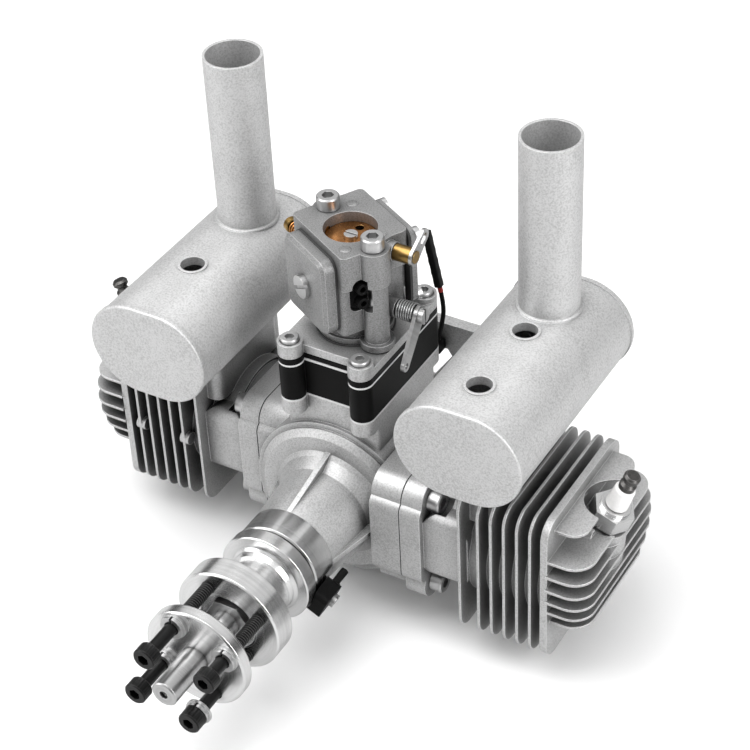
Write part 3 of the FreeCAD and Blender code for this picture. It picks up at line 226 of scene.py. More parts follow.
def make_edge_group():
    """An edge shows where the rounded normal turns away from the true one: a mask for wear and painted
    highlight.
    """
    group, start, end = new_group("edge_wear_and_painted_highlight", [("Width", FLOAT, 0.0005)],
                                  [("Edge", FLOAT), ("Soft Normal", VECTOR)])
    bevel = put(group, "Bevel", samples=4)
    face = put(group, "NewGeometry")
    dot = put(group, "VectorMath", operation="DOT_PRODUCT")
    ramp = put(group, "MapRange")
    ramp.inputs["From Min"].default_value = EDGE_STARTS
    ramp.inputs["From Max"].default_value = EDGE_IS_FULL
    join(group, (start.outputs["Width"], bevel.inputs["Radius"]),
         (bevel.outputs[0], dot.inputs[0]), (face.outputs["Normal"], dot.inputs[1]),
         (dot.outputs["Value"], ramp.inputs["Value"]), (ramp.outputs["Result"], end.inputs["Edge"]),
         (bevel.outputs[0], end.inputs["Soft Normal"]))
    return group


# %% The sandy skin of a blasted casting, with painted shade and painted highlight
SPECK_RANGE = (0.3, 0.7)
CLOUD_SCALE = 90
CLOUD_SHARE = 0.6
EDGE_SHARE = 0.75
GRAIN_HEIGHT = 0.00012
GRAIN_ROUGHENS = 0.12


def make_cast_group():
    """Fine grains and broad clouds vary the tone; hollows get painted shade, edges wear and painted
    highlight.
    """
    group, start, end = new_group(
        "blasted_skin_painted_shade_and_highlight",
        [("Light", COLOR, (0.6, 0.6, 0.6, 1)), ("Dark", COLOR, (0.4, 0.4, 0.4, 1)),
         ("Edge Light", COLOR, (0.8, 0.8, 0.8, 1)), ("Grain Size", FLOAT, 0.0005),
         ("Grain Depth", FLOAT, 0.4), ("Roughness", FLOAT, 0.5), ("Edge Width", FLOAT, 0.0004),
         ("Recess Shade", FLOAT, 0.4), ("Recess Reach", FLOAT, 0.008)],
        [("Color", COLOR), ("Roughness", FLOAT), ("Normal", VECTOR)])
    place = put(group, "TexCoord")
    inverse = put(group, "Math", operation="DIVIDE")
    inverse.inputs[0].default_value = 1.0
    grain = put(group, "TexNoise")
    grain.inputs["Detail"].default_value = 3
    grain.inputs["Roughness"].default_value = 0.6
    cloud = put(group, "TexNoise")
    cloud.inputs["Scale"].default_value = CLOUD_SCALE
    cloud.inputs["Detail"].default_value = 4
    speck = put(group, "MapRange")
    speck.inputs["From Min"].default_value, speck.inputs["From Max"].default_value = SPECK_RANGE
    mottle = put(group, "Math", operation="MULTIPLY_ADD")
    mottle.inputs[1].default_value = CLOUD_SHARE
    tone_fac, tone_a, tone_b, tone_out = mix_color(group)
    wear_and_highlight_edge = put(group, "Group", node_tree=EDGE)
    # Bright edge line in the colour, partly wear and partly painted highlight.
    rim_fac, rim_a, rim_b, rim_out = mix_color(group)
    # Painted shade: the colour is darkened where little sky is open, in recesses and fin gaps.
    open_sky = put(group, "AmbientOcclusion", samples=8)
    shade_fac, shade_a, shade_b, shade_out = mix_color(group, "MULTIPLY")
    soft = put(group, "Math", operation="MULTIPLY")
    soft.inputs[1].default_value = EDGE_SHARE
    bump = put(group, "Bump")
    bump.inputs["Distance"].default_value = GRAIN_HEIGHT
    rough = put(group, "Math", operation="MULTIPLY_ADD")
    rough.inputs[1].default_value = GRAIN_ROUGHENS
    join(group, (place.outputs["Object"], grain.inputs["Vector"]),
         (place.outputs["Object"], cloud.inputs["Vector"]),
         (start.outputs["Grain Size"], inverse.inputs[1]), (inverse.outputs[0], grain.inputs["Scale"]),
         (grain.outputs["Fac"], speck.inputs["Value"]),
         (cloud.outputs["Fac"], mottle.inputs[0]), (speck.outputs["Result"], mottle.inputs[2]),
         (mottle.outputs[0], tone_fac), (start.outputs["Dark"], tone_a),
         (start.outputs["Light"], tone_b), (start.outputs["Edge Width"], wear_and_highlight_edge.inputs["Width"]),
         (wear_and_highlight_edge.outputs["Edge"], soft.inputs[0]), (soft.outputs[0], rim_fac),
         (start.outputs["Recess Reach"], open_sky.inputs["Distance"]),
         (start.outputs["Recess Shade"], shade_fac), (tone_out, shade_a),
         (open_sky.outputs["Color"], shade_b), (shade_out, rim_a),
         (start.outputs["Edge Light"], rim_b), (rim_out, end.inputs["Color"]),
         (grain.outputs["Fac"], bump.inputs["Height"]),
         (start.outputs["Grain Depth"], bump.inputs["Strength"]),
         (wear_and_highlight_edge.outputs["Soft Normal"], bump.inputs["Normal"]), (bump.outputs[0], end.inputs["Normal"]),
         (grain.outputs["Fac"], rough.inputs[0]), (start.outputs["Roughness"], rough.inputs[2]),
         (rough.outputs[0], end.inputs["Roughness"]))
    return group


# %% The rings that a lathe leaves
RING_HEIGHT = 0.00003
BROAD_RINGS = 0.12


def make_turned_group():
    """Rings round the Y axis: on a side they follow the length, on an end face the radius."""
    group, start, end = new_group(
        "lathe_rings",
        [("Pitch", FLOAT, 0.0002), ("Depth", FLOAT, 0.3), ("Roughness", FLOAT, 0.22),
         ("Spread", FLOAT, 0.15), ("Edge Width", FLOAT, 0.0003)],
        [("Tone", FLOAT), ("Roughness", FLOAT), ("Normal", VECTOR)])
    place = put(group, "TexCoord")
    parts = put(group, "SeparateXYZ")
    flat = put(group, "CombineXYZ")
    reach = put(group, "VectorMath", operation="LENGTH")
    total = put(group, "Math", operation="ADD")
    step = put(group, "Math", operation="DIVIDE")
    rings = put(group, "TexNoise", noise_dimensions="1D")
    rings.inputs["Scale"].default_value = 1.0
    rings.inputs["Detail"].default_value = 2
    broad = put(group, "TexNoise", noise_dimensions="1D")
    broad.inputs["Scale"].default_value = BROAD_RINGS
    wear_and_highlight_edge = put(group, "Group", node_tree=EDGE)
    bump = put(group, "Bump")
    bump.inputs["Distance"].default_value = RING_HEIGHT
    spread = put(group, "Math", operation="MULTIPLY_ADD")
    join(group, (place.outputs["Object"], parts.inputs[0]), (parts.outputs["X"], flat.inputs["X"]),
         (parts.outputs["Z"], flat.inputs["Z"]), (flat.outputs[0], reach.inputs[0]),
         (reach.outputs["Value"], total.inputs[0]), (parts.outputs["Y"], total.inputs[1]),
         (total.outputs[0], step.inputs[0]), (start.outputs["Pitch"], step.inputs[1]),
         (step.outputs[0], rings.inputs["W"]), (step.outputs[0], broad.inputs["W"]),
         (rings.outputs["Fac"], bump.inputs["Height"]), (start.outputs["Depth"], bump.inputs["Strength"]),
         (start.outputs["Edge Width"], wear_and_highlight_edge.inputs["Width"]),
         (wear_and_highlight_edge.outputs["Soft Normal"], bump.inputs["Normal"]), (bump.outputs[0], end.inputs["Normal"]),
         (rings.outputs["Fac"], spread.inputs[0]), (start.outputs["Spread"], spread.inputs[1]),
         (start.outputs["Roughness"], spread.inputs[2]), (spread.outputs[0], end.inputs["Roughness"]),
         (broad.outputs["Fac"], end.inputs["Tone"]))
    return group


EDGE = make_edge_group()
CAST = make_cast_group()
TURNED = make_turned_group()

# %% [markdown]
# ## The finishes
# Most of the engine is cast aluminium that was blasted with fine beads: pale where light falls,
# with a very fine grain. The nose, the hub and the front plate are bare lathe work, the propeller
# screws are blackened steel, the block under the carburettor is black moulding. In the tables below
# a single number is a grey, and grain, edge, recess reach and pitch are in millimetres.

# %% Helpers for finishes
TURNED_RECESS_REACH = 0.003
TURNED_RECESS_SHADE = 0.85


def new_material(name, metallic, **sockets):
    """A principled material; its sockets are named with a low line in place of each space."""
    material = bpy.data.materials.new(name)
    material.use_nodes = True
    tree = material.node_tree
    shader = tree.nodes["Principled BSDF"]
    shader.inputs["Metallic"].default_value = metallic
    for label, value in sockets.items():
        shader.inputs[label.replace("_", " ")].default_value = value
    return material, tree, shader


def tone_of(value):
    return value if isinstance(value, tuple) else (value, value, value, 1)


def set_inputs(node, values):
    for label, value in values.items():
        node.inputs[label].default_value = value


# The edge colour is the bright edge line, partly wear and partly painted highlight; recess and reach set
# the painted shade in hollows.
def cast_finish(name, light, dark, edge, grain, depth, rough, metallic=0.85, edge_width=0.4,
                recess=0.4, reach=6, gloss=0.5):
    material, tree, shader = new_material(name, metallic, Specular_IOR_Level=gloss)
    skin = put(tree, "Group", node_tree=CAST)
    set_inputs(skin, {"Light": tone_of(light), "Dark": tone_of(dark), "Edge Light": tone_of(edge),
                      "Grain Size": grain * MM, "Grain Depth": depth, "Roughness": rough,
                      "Edge Width": edge_width * MM, "Recess Shade": recess, "Recess Reach": reach * MM})
    join(tree, (skin.outputs["Color"], shader.inputs["Base Color"]),
         (skin.outputs["Roughness"], shader.inputs["Roughness"]),
         (skin.outputs["Normal"], shader.inputs["Normal"]))
    return material


def turned_finish(name, light, dark, rough, pitch, depth):
    material, tree, shader = new_material(name, metallic=1.0)
    rings = put(tree, "Group", node_tree=TURNED)
    set_inputs(rings, {"Pitch": pitch * MM, "Depth": depth, "Roughness": rough})
    fac, a, b, out = mix_color(tree)
    a.default_value = tone_of(dark)
    b.default_value = tone_of(light)
    # Painted shade: hollows, such as the groove between the nose ring and the hub, are darkened in the
    # colour.
    open_sky = put(tree, "AmbientOcclusion", samples=8)
    open_sky.inputs["Distance"].default_value = TURNED_RECESS_REACH
    shade_fac, shade_a, shade_b, shade_out = mix_color(tree, "MULTIPLY")
    shade_fac.default_value = TURNED_RECESS_SHADE
    join(tree, (rings.outputs["Tone"], fac), (out, shade_a), (open_sky.outputs["Color"], shade_b),
         (shade_out, shader.inputs["Base Color"]),
         (rings.outputs["Roughness"], shader.inputs["Roughness"]),
         (rings.outputs["Normal"], shader.inputs["Normal"]))
    return material


# %% Build the finishes
FINISH = {
    "cast": cast_finish("blasted_casting", 0.65, 0.34, 0.88, grain=0.6, depth=0.5, rough=0.44,
                        recess=0.95),
    "carb_cast": cast_finish("zinc_casting", 0.32, 0.12, 0.72, grain=0.5, depth=0.45, rough=0.40,
                             metallic=0.55, recess=0.85),
    "machined": turned_finish("lathe_turned", 0.95, 0.72, rough=0.16, pitch=0.25, depth=0.08),
    "steel": turned_finish("ground_steel", 0.62, 0.45, rough=0.24, pitch=0.2, depth=0.1),
    "bright_screw": cast_finish("plated_screw", 0.66, 0.60, 0.85, grain=0.8, depth=0.03, rough=0.28,
                                metallic=1.0, edge_width=0.2),
    # On the blackened screws the edge colour is a painted highlight along their edges and thread crests.
    "black_oxide": cast_finish("blackened_steel", 0.004, 0.002, 0.10, grain=0.6, depth=0.05,
                               rough=0.24, metallic=0.0, edge_width=0.15, gloss=0.3),
    "plug_steel": cast_finish("nickel_plate", 0.80, 0.74, 0.95, grain=0.8, depth=0.03, rough=0.18,
                              metallic=1.0, edge_width=0.3),
    "terminal": cast_finish("dark_plate", (0.1236, 0.12, 0.1164, 1), (0.0515, 0.05, 0.0485, 1), 0.4,
                            grain=0.6, depth=0.15, rough=0.3, metallic=1.0, edge_width=0.3),
    "brass": cast_finish("turned_brass", (0.36, 0.23, 0.08, 1), (0.28, 0.17, 0.05, 1),
                         (0.75, 0.56, 0.27, 1), grain=0.9, depth=0.05, rough=0.24,
                         metallic=1.0, edge_width=0.2),
    "copper": cast_finish("copper_sheet", (0.50, 0.23, 0.08, 1), (0.40, 0.16, 0.05, 1),
                          (0.85, 0.5, 0.2, 1), grain=1.2, depth=0.04, rough=0.2,
                          metallic=1.0, edge_width=0.2),
    "insulator": cast_finish("white_glaze", (0.909, 0.9, 0.891, 1), (0.8282, 0.82, 0.8118, 1), 0.95,
                             grain=1.5, depth=0.03, rough=0.12, metallic=0.0),
    "gasket_dark": cast_finish("pressed_fibre", 0.05, 0.02, 0.09, grain=0.4, depth=0.4, rough=0.75,
                               metallic=0.0),
    "gasket_pale": cast_finish("pressed_paper", 0.75, 0.6, 0.8, grain=0.4, depth=0.3, rough=0.7,
                               metallic=0.0),
    "black_block": cast_finish("black_moulding", 0.006, 0.003, 0.03, grain=0.5, depth=0.25,
                               rough=0.36, metallic=0.0, gloss=0.08),
    "seal": cast_finish("seal_rubber", 0.02, 0.01, 0.05, grain=0.6, depth=0.3, rough=0.6,
                        metallic=0.0, gloss=0.2),
    "lead": cast_finish("lead_sleeve", 0.006, 0.003, 0.03, grain=0.7, depth=0.3, rough=0.40,
                        metallic=0.0, gloss=0.15),
    "reed": cast_finish("reed_sheet", 0.05, 0.02, 0.09, grain=0.6, depth=0.3, rough=0.4, metallic=0.0),
}
FIN = {"light": 0.64, "dark": 0.36, "edge": 0.95, "grain": 0.6, "depth": 0.5, "rough": 0.44,
       "metallic": 0.8, "edge_width": 0.5}
# Two copies of the fin finish: the one for the left cylinder, which faces away from the lamps, has deeper
# painted shade in its recesses.
FIN_SKIN = cast_finish("finned_casting", **FIN, recess=0.72, reach=9)
SHADED_FIN_SKIN = cast_finish("shaded_finned_casting", **FIN, recess=1.0, reach=12)
MUFFLER_SKIN = cast_finish("muffler_skin", 0.68, 0.40, 0.80, grain=0.7, depth=0.5, rough=0.48,
                           metallic=0.7, recess=0.5)
RED_SLEEVE = cast_finish("red_sleeve", (0.45, 0.02, 0.015, 1), (0.3, 0.01, 0.01, 1),
                         (0.6, 0.1, 0.08, 1), grain=0.6, depth=0.1, rough=0.4, metallic=0.0)

# %% Paint the nodes and the floor
OWN_FINISH = {
    # The left cylinder takes the fin finish with deeper painted shade.
    "cylinder_right": FIN_SKIN, "cylinder_left": SHADED_FIN_SKIN,
    "muffler_right": MUFFLER_SKIN, "muffler_left": MUFFLER_SKIN,
    "prop_washers": FINISH["bright_screw"], "loose_washers": FINISH["bright_screw"],
}
FLOOR_TONES = (0.95, 0.97)
FLOOR_CLOUD_SCALE = 3
FLOOR_IN_REFLECTIONS = 0.58


def floor_finish():
    """Pale to the eye and duller in the metal's reflections, which keeps the metal from washing out."""
    material, tree, shader = new_material("pale_floor", metallic=0.0, Roughness=0.9)
    place = put(tree, "TexCoord")
    cloud = put(tree, "TexNoise")
    cloud.inputs["Scale"].default_value = FLOOR_CLOUD_SCALE
    fac, a, b, out = mix_color(tree)
    a.default_value, b.default_value = (tone_of(value) for value in FLOOR_TONES)
    paths = put(tree, "LightPath")
    seen_fac, seen_a, seen_b, seen_out = mix_color(tree)
    seen_b.default_value = tone_of(FLOOR_IN_REFLECTIONS)
    join(tree, (place.outputs["Object"], cloud.inputs["Vector"]), (cloud.outputs["Fac"], fac),
         (paths.outputs["Is Glossy Ray"], seen_fac), (out, seen_a),
         (seen_out, shader.inputs["Base Color"]))
    return material


slot_of = {entry["node"]: entry["material_slot"] for entry in frame["record"]["subparts"]}
for name, node in nodes.items():
    node.data.materials.clear()
    node.data.materials.append(OWN_FINISH.get(name, FINISH[slot_of[name]]))
ground.data.materials.append(floor_finish())

# %% [markdown]
# ## Small pieces with fine detail
# A screw thread and a coil spring are both one small outline swept round an axis while it climbs.
# The spin operator does exactly that when it is given a step along the axis, so one helper makes
# the threads of the screws, the ridges in the shaft's bore and the two springs. Each small piece is
# drawn up the Z axis in millimetres and then laid where it belongs.

# %% Helpers for new pieces
THREAD_STEPS = 18


def make_piece(name, bm, finish, body, replaced, smooth):
    """Closes and keeps a drawn piece, with a crease wherever it turns by more than smooth degrees."""
    bmesh.ops.remove_doubles(bm, verts=bm.verts, dist=1e-6)
    open_edges = [e for e in bm.edges if e.is_boundary]
    if open_edges:
        bmesh.ops.holes_fill(bm, edges=open_edges, sides=0)
    bmesh.ops.recalc_face_normals(bm, faces=bm.faces)
    mesh = bpy.data.meshes.new(name)
    bm.to_mesh(mesh)
    bm.free()
    for face in mesh.polygons:
        face.use_smooth = True
    mesh.set_sharp_from_angle(angle=math.radians(smooth))
    mesh.materials.append(finish)
    piece = bpy.data.objects.new(name, mesh)
    bpy.context.scene.collection.objects.link(piece)
    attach(piece, body)
    if replaced:
        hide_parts(*replaced)
    print(name, "faces", len(mesh.polygons))
    return piece


def along_axis(start, direction):
    """A matrix that puts a piece drawn up the Z axis at start, pointing in direction."""
    turn = Vector(direction).to_track_quat("Z", "Y").to_matrix().to_4x4()
    return Matrix.Translation(Vector(start) * MM) @ turn


def merge_into(bm, piece, place):
    """Adds a small drawn piece to a larger one, at its place."""
    bmesh.ops.remove_doubles(piece, verts=piece.verts, dist=1e-7)
    bmesh.ops.recalc_face_normals(piece, faces=piece.faces)
    bmesh.ops.transform(piece, matrix=place, verts=piece.verts)
    holder = bpy.data.meshes.new("holder")
    piece.to_mesh(holder)
    piece.free()
    bm.from_mesh(holder)
    bpy.data.meshes.remove(holder)


def sweep_climb(bm, geometry, turns, climb, steps_per_turn):
    """Spins an outline round Z while it climbs by climb millimetres per turn."""
    steps = int(round(turns * steps_per_turn))
    rise = climb * MM * turns / steps
    bmesh.ops.spin(bm, geom=geometry, cent=(0, 0, 0), axis=(0, 0, 1), dvec=(0, 0, rise),
                   angle=math.tau * turns, steps=steps, use_merge=False)


def add_coil(bm, place, radius, wire, turns, climb, steps=20, sides=8):
    piece = bmesh.new()
    made = bmesh.ops.create_circle(piece, segments=sides, radius=wire * MM, cap_ends=True)
    turn = Matrix.Translation((radius * MM, 0, 0)) @ Matrix.Rotation(math.pi / 2, 4, "X")
    bmesh.ops.transform(piece, matrix=turn, verts=made["verts"])
    sweep_climb(piece, piece.verts[:] + piece.edges[:] + piece.faces[:], turns, climb, steps)
    merge_into(bm, piece, place)


def draw_profile(piece, profile):
    """A chain of edges through (radius, height) pairs in millimetres."""
    verts = [piece.verts.new((radius * MM, 0, height * MM)) for radius, height in profile]
    return verts + [piece.edges.new(pair) for pair in zip(verts, verts[1:])]


def add_turned(bm, place, profile, segments):
    """Turns a profile of (radius, height) pairs in millimetres round Z."""
    piece = bmesh.new()
    bmesh.ops.spin(piece, geom=draw_profile(piece, profile), cent=(0, 0, 0), axis=(0, 0, 1),
                   dvec=(0, 0, 0), angle=math.tau, steps=segments, use_merge=True)
    merge_into(bm, piece, place)


def add_thread(bm, place, radius, depth, pitch, length):
    """A screw's shank with its thread, climbing up Z from a blunt tip."""
    piece = bmesh.new()
    root = radius - depth
    outline = ((root, 0.0), (radius, 0.42 * pitch), (radius, 0.58 * pitch), (root, pitch))
    sweep_climb(piece, draw_profile(piece, outline), length / pitch - 1, pitch, THREAD_STEPS)
    merge_into(bm, piece, place)
    core = ((0.0, 0.02), (root, 0.02), (radius - depth * 0.9, length), (0.0, length))
    add_turned(bm, place, core, segments=24)


# %% The socket head
HEAD_RIM = 0.9
SOCKET_DEPTH = 0.5
FLUTE_DEPTH = 0.965
# Shares of the radius and of the height, from the rim down, and whether the ring is knurled.
HEAD_RINGS = ((1.0, -0.1, False), (1.0, -0.18, True), (1.0, -0.86, True), (1.0, -0.92, False),
              (0.94, -1.0, False))


def picked(made, kind):
    return [item for item in made["geom"] if isinstance(item, kind)]


def add_socket_head(bm, place, radius, height, socket, flutes=30):
    """A cap head with straight knurling and a six-sided socket in its top."""
    piece = bmesh.new()
    bmesh.ops.create_circle(piece, segments=flutes * 2, radius=radius * HEAD_RIM * MM)
    side = piece.edges[:]
    bmesh.ops.create_circle(piece, segments=6, radius=socket / math.sqrt(3) * MM)
    socket_edges = [e for e in piece.edges if e not in side]
    bmesh.ops.bridge_loops(piece, edges=side + socket_edges)
    bottom = picked(bmesh.ops.extrude_edge_only(piece, edges=socket_edges), bmesh.types.BMVert)
    bmesh.ops.translate(piece, vec=(0, 0, -height * SOCKET_DEPTH * MM), verts=bottom)
    bmesh.ops.contextual_create(piece, geom=bottom)
    level = 0.0
    for reach, depth, knurled in HEAD_RINGS:
        made = bmesh.ops.extrude_edge_only(piece, edges=side)
        ring = picked(made, bmesh.types.BMVert)
        side = picked(made, bmesh.types.BMEdge)
        bmesh.ops.translate(piece, vec=(0, 0, (depth - level) * height * MM), verts=ring)
        for vert in ring:
            across = Vector((vert.co.x, vert.co.y))
            count = round(math.atan2(across.y, across.x) / math.tau * flutes * 2)
            size = reach * radius * MM * (FLUTE_DEPTH if knurled and count % 2 else 1.0)
            vert.co.x, vert.co.y = across.normalized() * size
        level = depth
    bmesh.ops.contextual_create(piece, geom=ring)
    bmesh.ops.translate(piece, vec=(0, 0, height * MM), verts=piece.verts)
    merge_into(bm, piece, place)


# %% [markdown]
# ## The propeller screws
# Four blackened socket screws stand in the front plate, not yet pulled tight. Their shanks are
# threaded up to a plain neck under the head. They stand for the plain screws of the solid model.
# The bore in the shaft's end shows the ridges of its own thread.

# %% Make the propeller screws and the ridges in the bore
SCREW_CIRCLE = 15.0
SCREW_ANGLES = (27, 117, 207, 297)
HEAD_FRONTS = (-182.0, -187.0, -186.5, -184.5)
SCREW_LENGTH = 40.0
SCREW_RADIUS = 2.5
THREAD_DEPTH = 0.5
THREAD_PITCH = 1.0
HEAD_RADIUS = 4.25
HEAD_HEIGHT = 5.0
HEAD_SOCKET = 4.0
PLAIN_NECK = 14.0
NECK_OVERLAP = 0.3
NECK_PROFILE = ((0, 0), (2.2, 0), (2.48, 0.4), (2.48, PLAIN_NECK + NECK_OVERLAP),
                (0, PLAIN_NECK + NECK_OVERLAP))
FORWARDS = (0, -1, 0)
BACKWARDS = (0, 1, 0)
SHAFT_TIP_Y = -187.0
RIDGE_INSET = 1.0
RIDGE = {"radius": 1.62, "wire": 0.26, "turns": 9, "climb": 0.7}


def make_prop_screws():
    bm = bmesh.new()
    for angle, front in zip(SCREW_ANGLES, HEAD_FRONTS):
        x = SCREW_CIRCLE * math.cos(math.radians(angle))
        z = SCREW_CIRCLE * math.sin(math.radians(angle))
        seat = front + HEAD_HEIGHT
        add_thread(bm, along_axis((x, seat + SCREW_LENGTH, z), FORWARDS), SCREW_RADIUS, THREAD_DEPTH,
                   THREAD_PITCH, SCREW_LENGTH - PLAIN_NECK)
        add_turned(bm, along_axis((x, seat + PLAIN_NECK + 0.2, z), FORWARDS), NECK_PROFILE,
                   segments=28)
        add_socket_head(bm, along_axis((x, seat, z), FORWARDS), HEAD_RADIUS, HEAD_HEIGHT, HEAD_SOCKET)
    make_piece("prop_screws_threaded", bm, FINISH["black_oxide"], "prop_bolts",
               ["prop_screws"], smooth=24)


def make_tapped_ridges():
    bm = bmesh.new()
    add_coil(bm, along_axis((0, SHAFT_TIP_Y + RIDGE_INSET, 0), BACKWARDS), **RIDGE, steps=18, sides=6)
    make_piece("tapped_ridges", bm, FINISH["machined"], "crank", [], smooth=40)


make_prop_screws()
make_tapped_ridges()

# %% [markdown]
# ## The bright socket screws
# The carburettor, the plate under it and both cylinders are held by bright socket screws. They share
# one recipe: a knurled head that stands on its seat, and a plain shank below it.

# %% Make the bright socket screws
CARB_CENTRE_Y = -51.0
CARB_TURN = math.radians(-29.5)
CARB_TOP = 109.0
CARB_SCREW_REACH = 15.6
STACK_CENTRE_Y = -49.6
STACK_REACH = (14.6, 23.4)
STACK_SEAT = 66.9
FLANGE_FACE = 43.7
FLANGE_CENTRES = {1: -59.0, -1: -43.0}
FLANGE_REACH = (17.5, 19.5)
UPWARDS = (0, 0, 1)
BOTH = (-1, 1)


def carb_spot(a, b, z):
    """A point given along and across the turned carburettor, in millimetres."""
    return (a * math.cos(CARB_TURN) - b * math.sin(CARB_TURN),
            CARB_CENTRE_Y + a * math.sin(CARB_TURN) + b * math.cos(CARB_TURN), z)


def make_cap_screws(node, seats, shank, head, height, socket, length):
    bm = bmesh.new()
    for spot, way in seats:
        add_socket_head(bm, along_axis(spot, way), head, height, socket, flutes=24)
        tip = Vector(spot) - Vector(way) * length
        top = length + NECK_OVERLAP
        profile = ((0, 0), (shank * 0.9, 0), (shank, shank * 0.15), (shank, top), (0, top))
        add_turned(bm, along_axis(tip, way), profile, segments=24)
    make_piece(node + "_knurled", bm, FINISH["bright_screw"], "engine", [node], smooth=32)


carb_seats = [(carb_spot(CARB_SCREW_REACH * side, 0, CARB_TOP), UPWARDS) for side in BOTH]
stack_seats = [((STACK_REACH[0] * sx, STACK_CENTRE_Y + STACK_REACH[1] * sy, STACK_SEAT), UPWARDS)
               for sx in BOTH for sy in BOTH]
flange_seats = [((side * FLANGE_FACE, centre + FLANGE_REACH[0] * sy, FLANGE_REACH[1] * sz), (side, 0, 0))
                for side, centre in FLANGE_CENTRES.items() for sy in BOTH for sz in BOTH]
M5 = {"shank": SCREW_RADIUS, "head": HEAD_RADIUS, "height": HEAD_HEIGHT, "socket": HEAD_SOCKET}
M4 = {"shank": 2.0, "head": 3.5, "height": 4.0, "socket": 3.2}
make_cap_screws("carb_screws", carb_seats, length=45.0, **M5)
make_cap_screws("adapter_screws", stack_seats, length=27.4, **M4)
make_cap_screws("cylinder_screws", flange_seats, length=17.2, **M5)

# %% [markdown]
# ## Pressed-in plugs
# Drilled passages of the carburettor are closed with small discs that stand a little proud of its top.

# %% Make the plugs
PLUGS = ((-12.5, 8.1, 2.1), (11.2, -8.4, 2.1), (10.6, 7.4, 1.1))


def make_plugs():
    bm = bmesh.new()
    for a, b, radius in PLUGS:
        profile = ((0, -0.6), (radius, -0.6), (radius, 0.1), (radius * 0.85, 0.28), (0, 0.2))
        add_turned(bm, along_axis(carb_spot(a, b, CARB_TOP), UPWARDS), profile, segments=32)
    make_piece("carb_plugs", bm, FINISH["carb_cast"], "engine", [], smooth=35)


make_plugs()

# %% [markdown]
# ## The springs
# The return spring sits round the throttle shaft between the carburettor and the lever. The idle
# screw is brass, with a short copper spring under its head that stops it from turning by itself.

# %% Make the throttle spring and the idle screw
THROTTLE_AXIS = (-51.0, 79.6)
SPRING_MARGIN = 0.5
SPRING_RADIUS = 3.4
SPRING_WIRE = 0.42
SPRING_TURNS = 6.5
SPRING_TAIL = 7.4
IDLE_SEAT = (-19.5, -9.4, 98.5)
IDLE_PROFILE = ((0, -3.9), (1.45, -3.9), (1.45, 6.2), (2.5, 6.2), (2.9, 6.6), (2.9, 8.5),
                (2.4, 9.15), (0, 9.15))
IDLE_SPRING = {"radius": 2.2, "wire": 0.42, "turns": 3.6, "climb": 1.4}
IDLE_SPRING_SHIFT = 0.65


def make_throttle_spring():
    bm = bmesh.new()
    low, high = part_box("throttle_spring")
    start = low.x / MM + SPRING_MARGIN
    length = (high.x - low.x) / MM - 2 * SPRING_MARGIN
    add_coil(bm, along_axis((start, *THROTTLE_AXIS), (1, 0, 0)), SPRING_RADIUS, SPRING_WIRE,
             SPRING_TURNS, length / SPRING_TURNS)
    tail = along_axis((start + 0.1, THROTTLE_AXIS[0] + SPRING_RADIUS, THROTTLE_AXIS[1] + 0.3), UPWARDS)
    tail_profile = ((0, 0), (SPRING_WIRE, 0), (SPRING_WIRE, SPRING_TAIL), (0, SPRING_TAIL))
    add_turned(bm, tail, tail_profile, segments=12)
    make_piece("throttle_spring_coil", bm, FINISH["steel"], "engine", ["throttle_spring"],
               smooth=40)


def make_idle_screw():
    bm = bmesh.new()
    out = (-math.cos(CARB_TURN), -math.sin(CARB_TURN), 0)
    add_turned(bm, along_axis(carb_spot(*IDLE_SEAT), out), IDLE_PROFILE, segments=32)
    make_piece("idle_screw_brass", bm, FINISH["brass"], "engine", ["idle_screw"], smooth=35)
    coil = bmesh.new()
    spot = carb_spot(IDLE_SEAT[0] - IDLE_SPRING_SHIFT, *IDLE_SEAT[1:])
    add_coil(coil, along_axis(spot, out), **IDLE_SPRING)
    make_piece("idle_spring_coil", coil, FINISH["copper"], "engine", [], smooth=40)


make_throttle_spring()
make_idle_screw()

# %% [markdown]
# ## The lead of the ignition pickup
# A thin stiff lead stands up behind the carburettor, in black sleeving that ends in a flat
# connector. It is a smooth curve, whose control points are the route of the solid lead.

# %% Make the lead and its connector
LEAD_POINTS = ((9.2, -8.4, 31.6), (11.7, -8.6, 41.4), (13.4, -9.0, 52.3), (11.1, -9.0, 61.3))
LEAD_TOP = (6.5, -9.0, 83.5)
LEAD_RADIUS = 0.9
CONNECTOR_WIDTH = 3.1
CONNECTOR_DEPTH = 2.9
CONNECTOR_OVERLAP = 1.1
CORNER = 0.4
PINCH = 0.07
UPRIGHT_LENGTH = 0.005
RED_SLEEVE_PROFILE = ((0, 0), (0.9, 0), (0.98, 0.2), (0.98, 2.7), (0, 2.7))
RED_SLEEVE_DROP = 3.6


def uprights(bm):
    return [e for e in bm.edges if abs(e.verts[0].co.z - e.verts[1].co.z) > UPRIGHT_LENGTH]


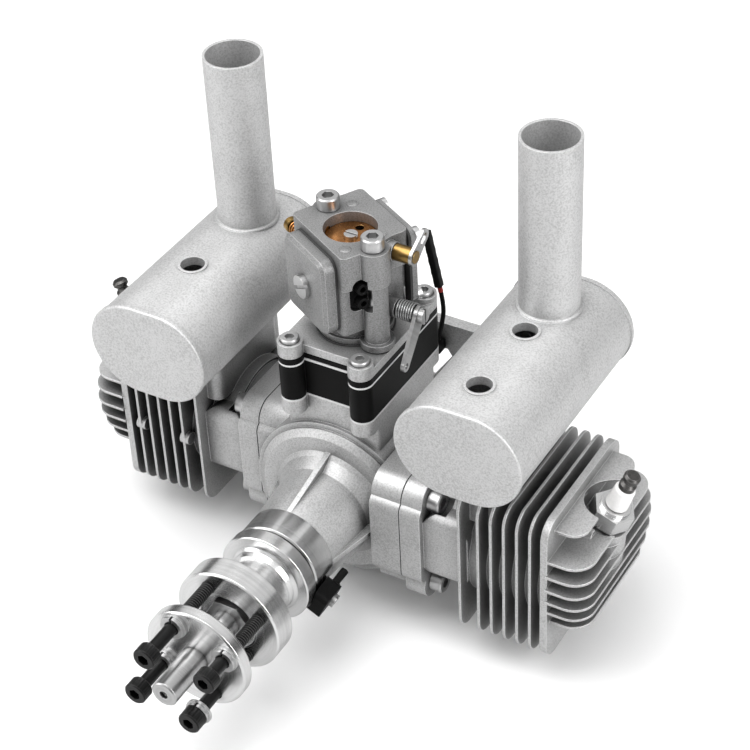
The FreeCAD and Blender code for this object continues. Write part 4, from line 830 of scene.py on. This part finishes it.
def make_connector():
    """A bar of sleeving with rounded corners, pinched unevenly along its length."""
    bm = bmesh.new()
    start = Vector(LEAD_POINTS[-1])
    way = Vector(LEAD_TOP) - start
    length = way.length
    made = bmesh.ops.create_cube(bm, size=1.0)["verts"]
    size = (CONNECTOR_WIDTH * MM, CONNECTOR_DEPTH * MM, (length + CONNECTOR_OVERLAP) * MM)
    bmesh.ops.scale(bm, vec=size, verts=made)
    bmesh.ops.translate(bm, vec=(0, 0, (length - CONNECTOR_OVERLAP) / 2 * MM), verts=made)
    bmesh.ops.bevel(bm, geom=uprights(bm), offset=CORNER * MM, segments=3, profile=0.5, affect="EDGES",
                    material=-1)
    bmesh.ops.subdivide_edges(bm, edges=uprights(bm), cuts=14, use_grid_fill=True)
    for vert in bm.verts:
        height = vert.co.z / MM
        pinch = 1.0 - PINCH + PINCH * math.cos(height * 1.9) * math.cos(height * 0.63)
        vert.co.x *= pinch
        vert.co.y *= 1.0 - (1.0 - pinch) * 0.5
    bmesh.ops.transform(bm, matrix=along_axis(start, way), verts=bm.verts)
    return make_piece("lead_sleeve_end", bm, FINISH["lead"], "engine", ["lead_connector"],
                      smooth=40)


def make_red_sleeve():
    bm = bmesh.new()
    way = Vector(LEAD_POINTS[-1]) - Vector(LEAD_POINTS[-2])
    start = Vector(LEAD_POINTS[-1]) - way.normalized() * RED_SLEEVE_DROP
    add_turned(bm, along_axis(start, way), RED_SLEEVE_PROFILE, segments=20)
    return make_piece("lead_red_sleeve", bm, RED_SLEEVE, "engine", [], smooth=40)


def make_lead(ends):
    curve = bpy.data.curves.new("lead_curve", "CURVE")
    curve.dimensions = "3D"
    curve.bevel_depth = LEAD_RADIUS * MM
    curve.bevel_resolution = 4
    curve.resolution_u = 16
    curve.use_fill_caps = True
    spline = curve.splines.new("NURBS")
    spline.points.add(len(LEAD_POINTS) - 1)
    for point, place in zip(spline.points, LEAD_POINTS):
        point.co = (*[c * MM for c in place], 1)
    spline.order_u = 3
    spline.use_endpoint_u = True
    curve.materials.append(FINISH["lead"])
    lead = bpy.data.objects.new("pickup_lead_curve", curve)
    bpy.context.scene.collection.objects.link(lead)
    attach(lead, "engine")
    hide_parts("pickup_lead")


make_lead([make_connector(), make_red_sleeve()])

# %% Bring the scene up to date
bpy.context.view_layer.update()
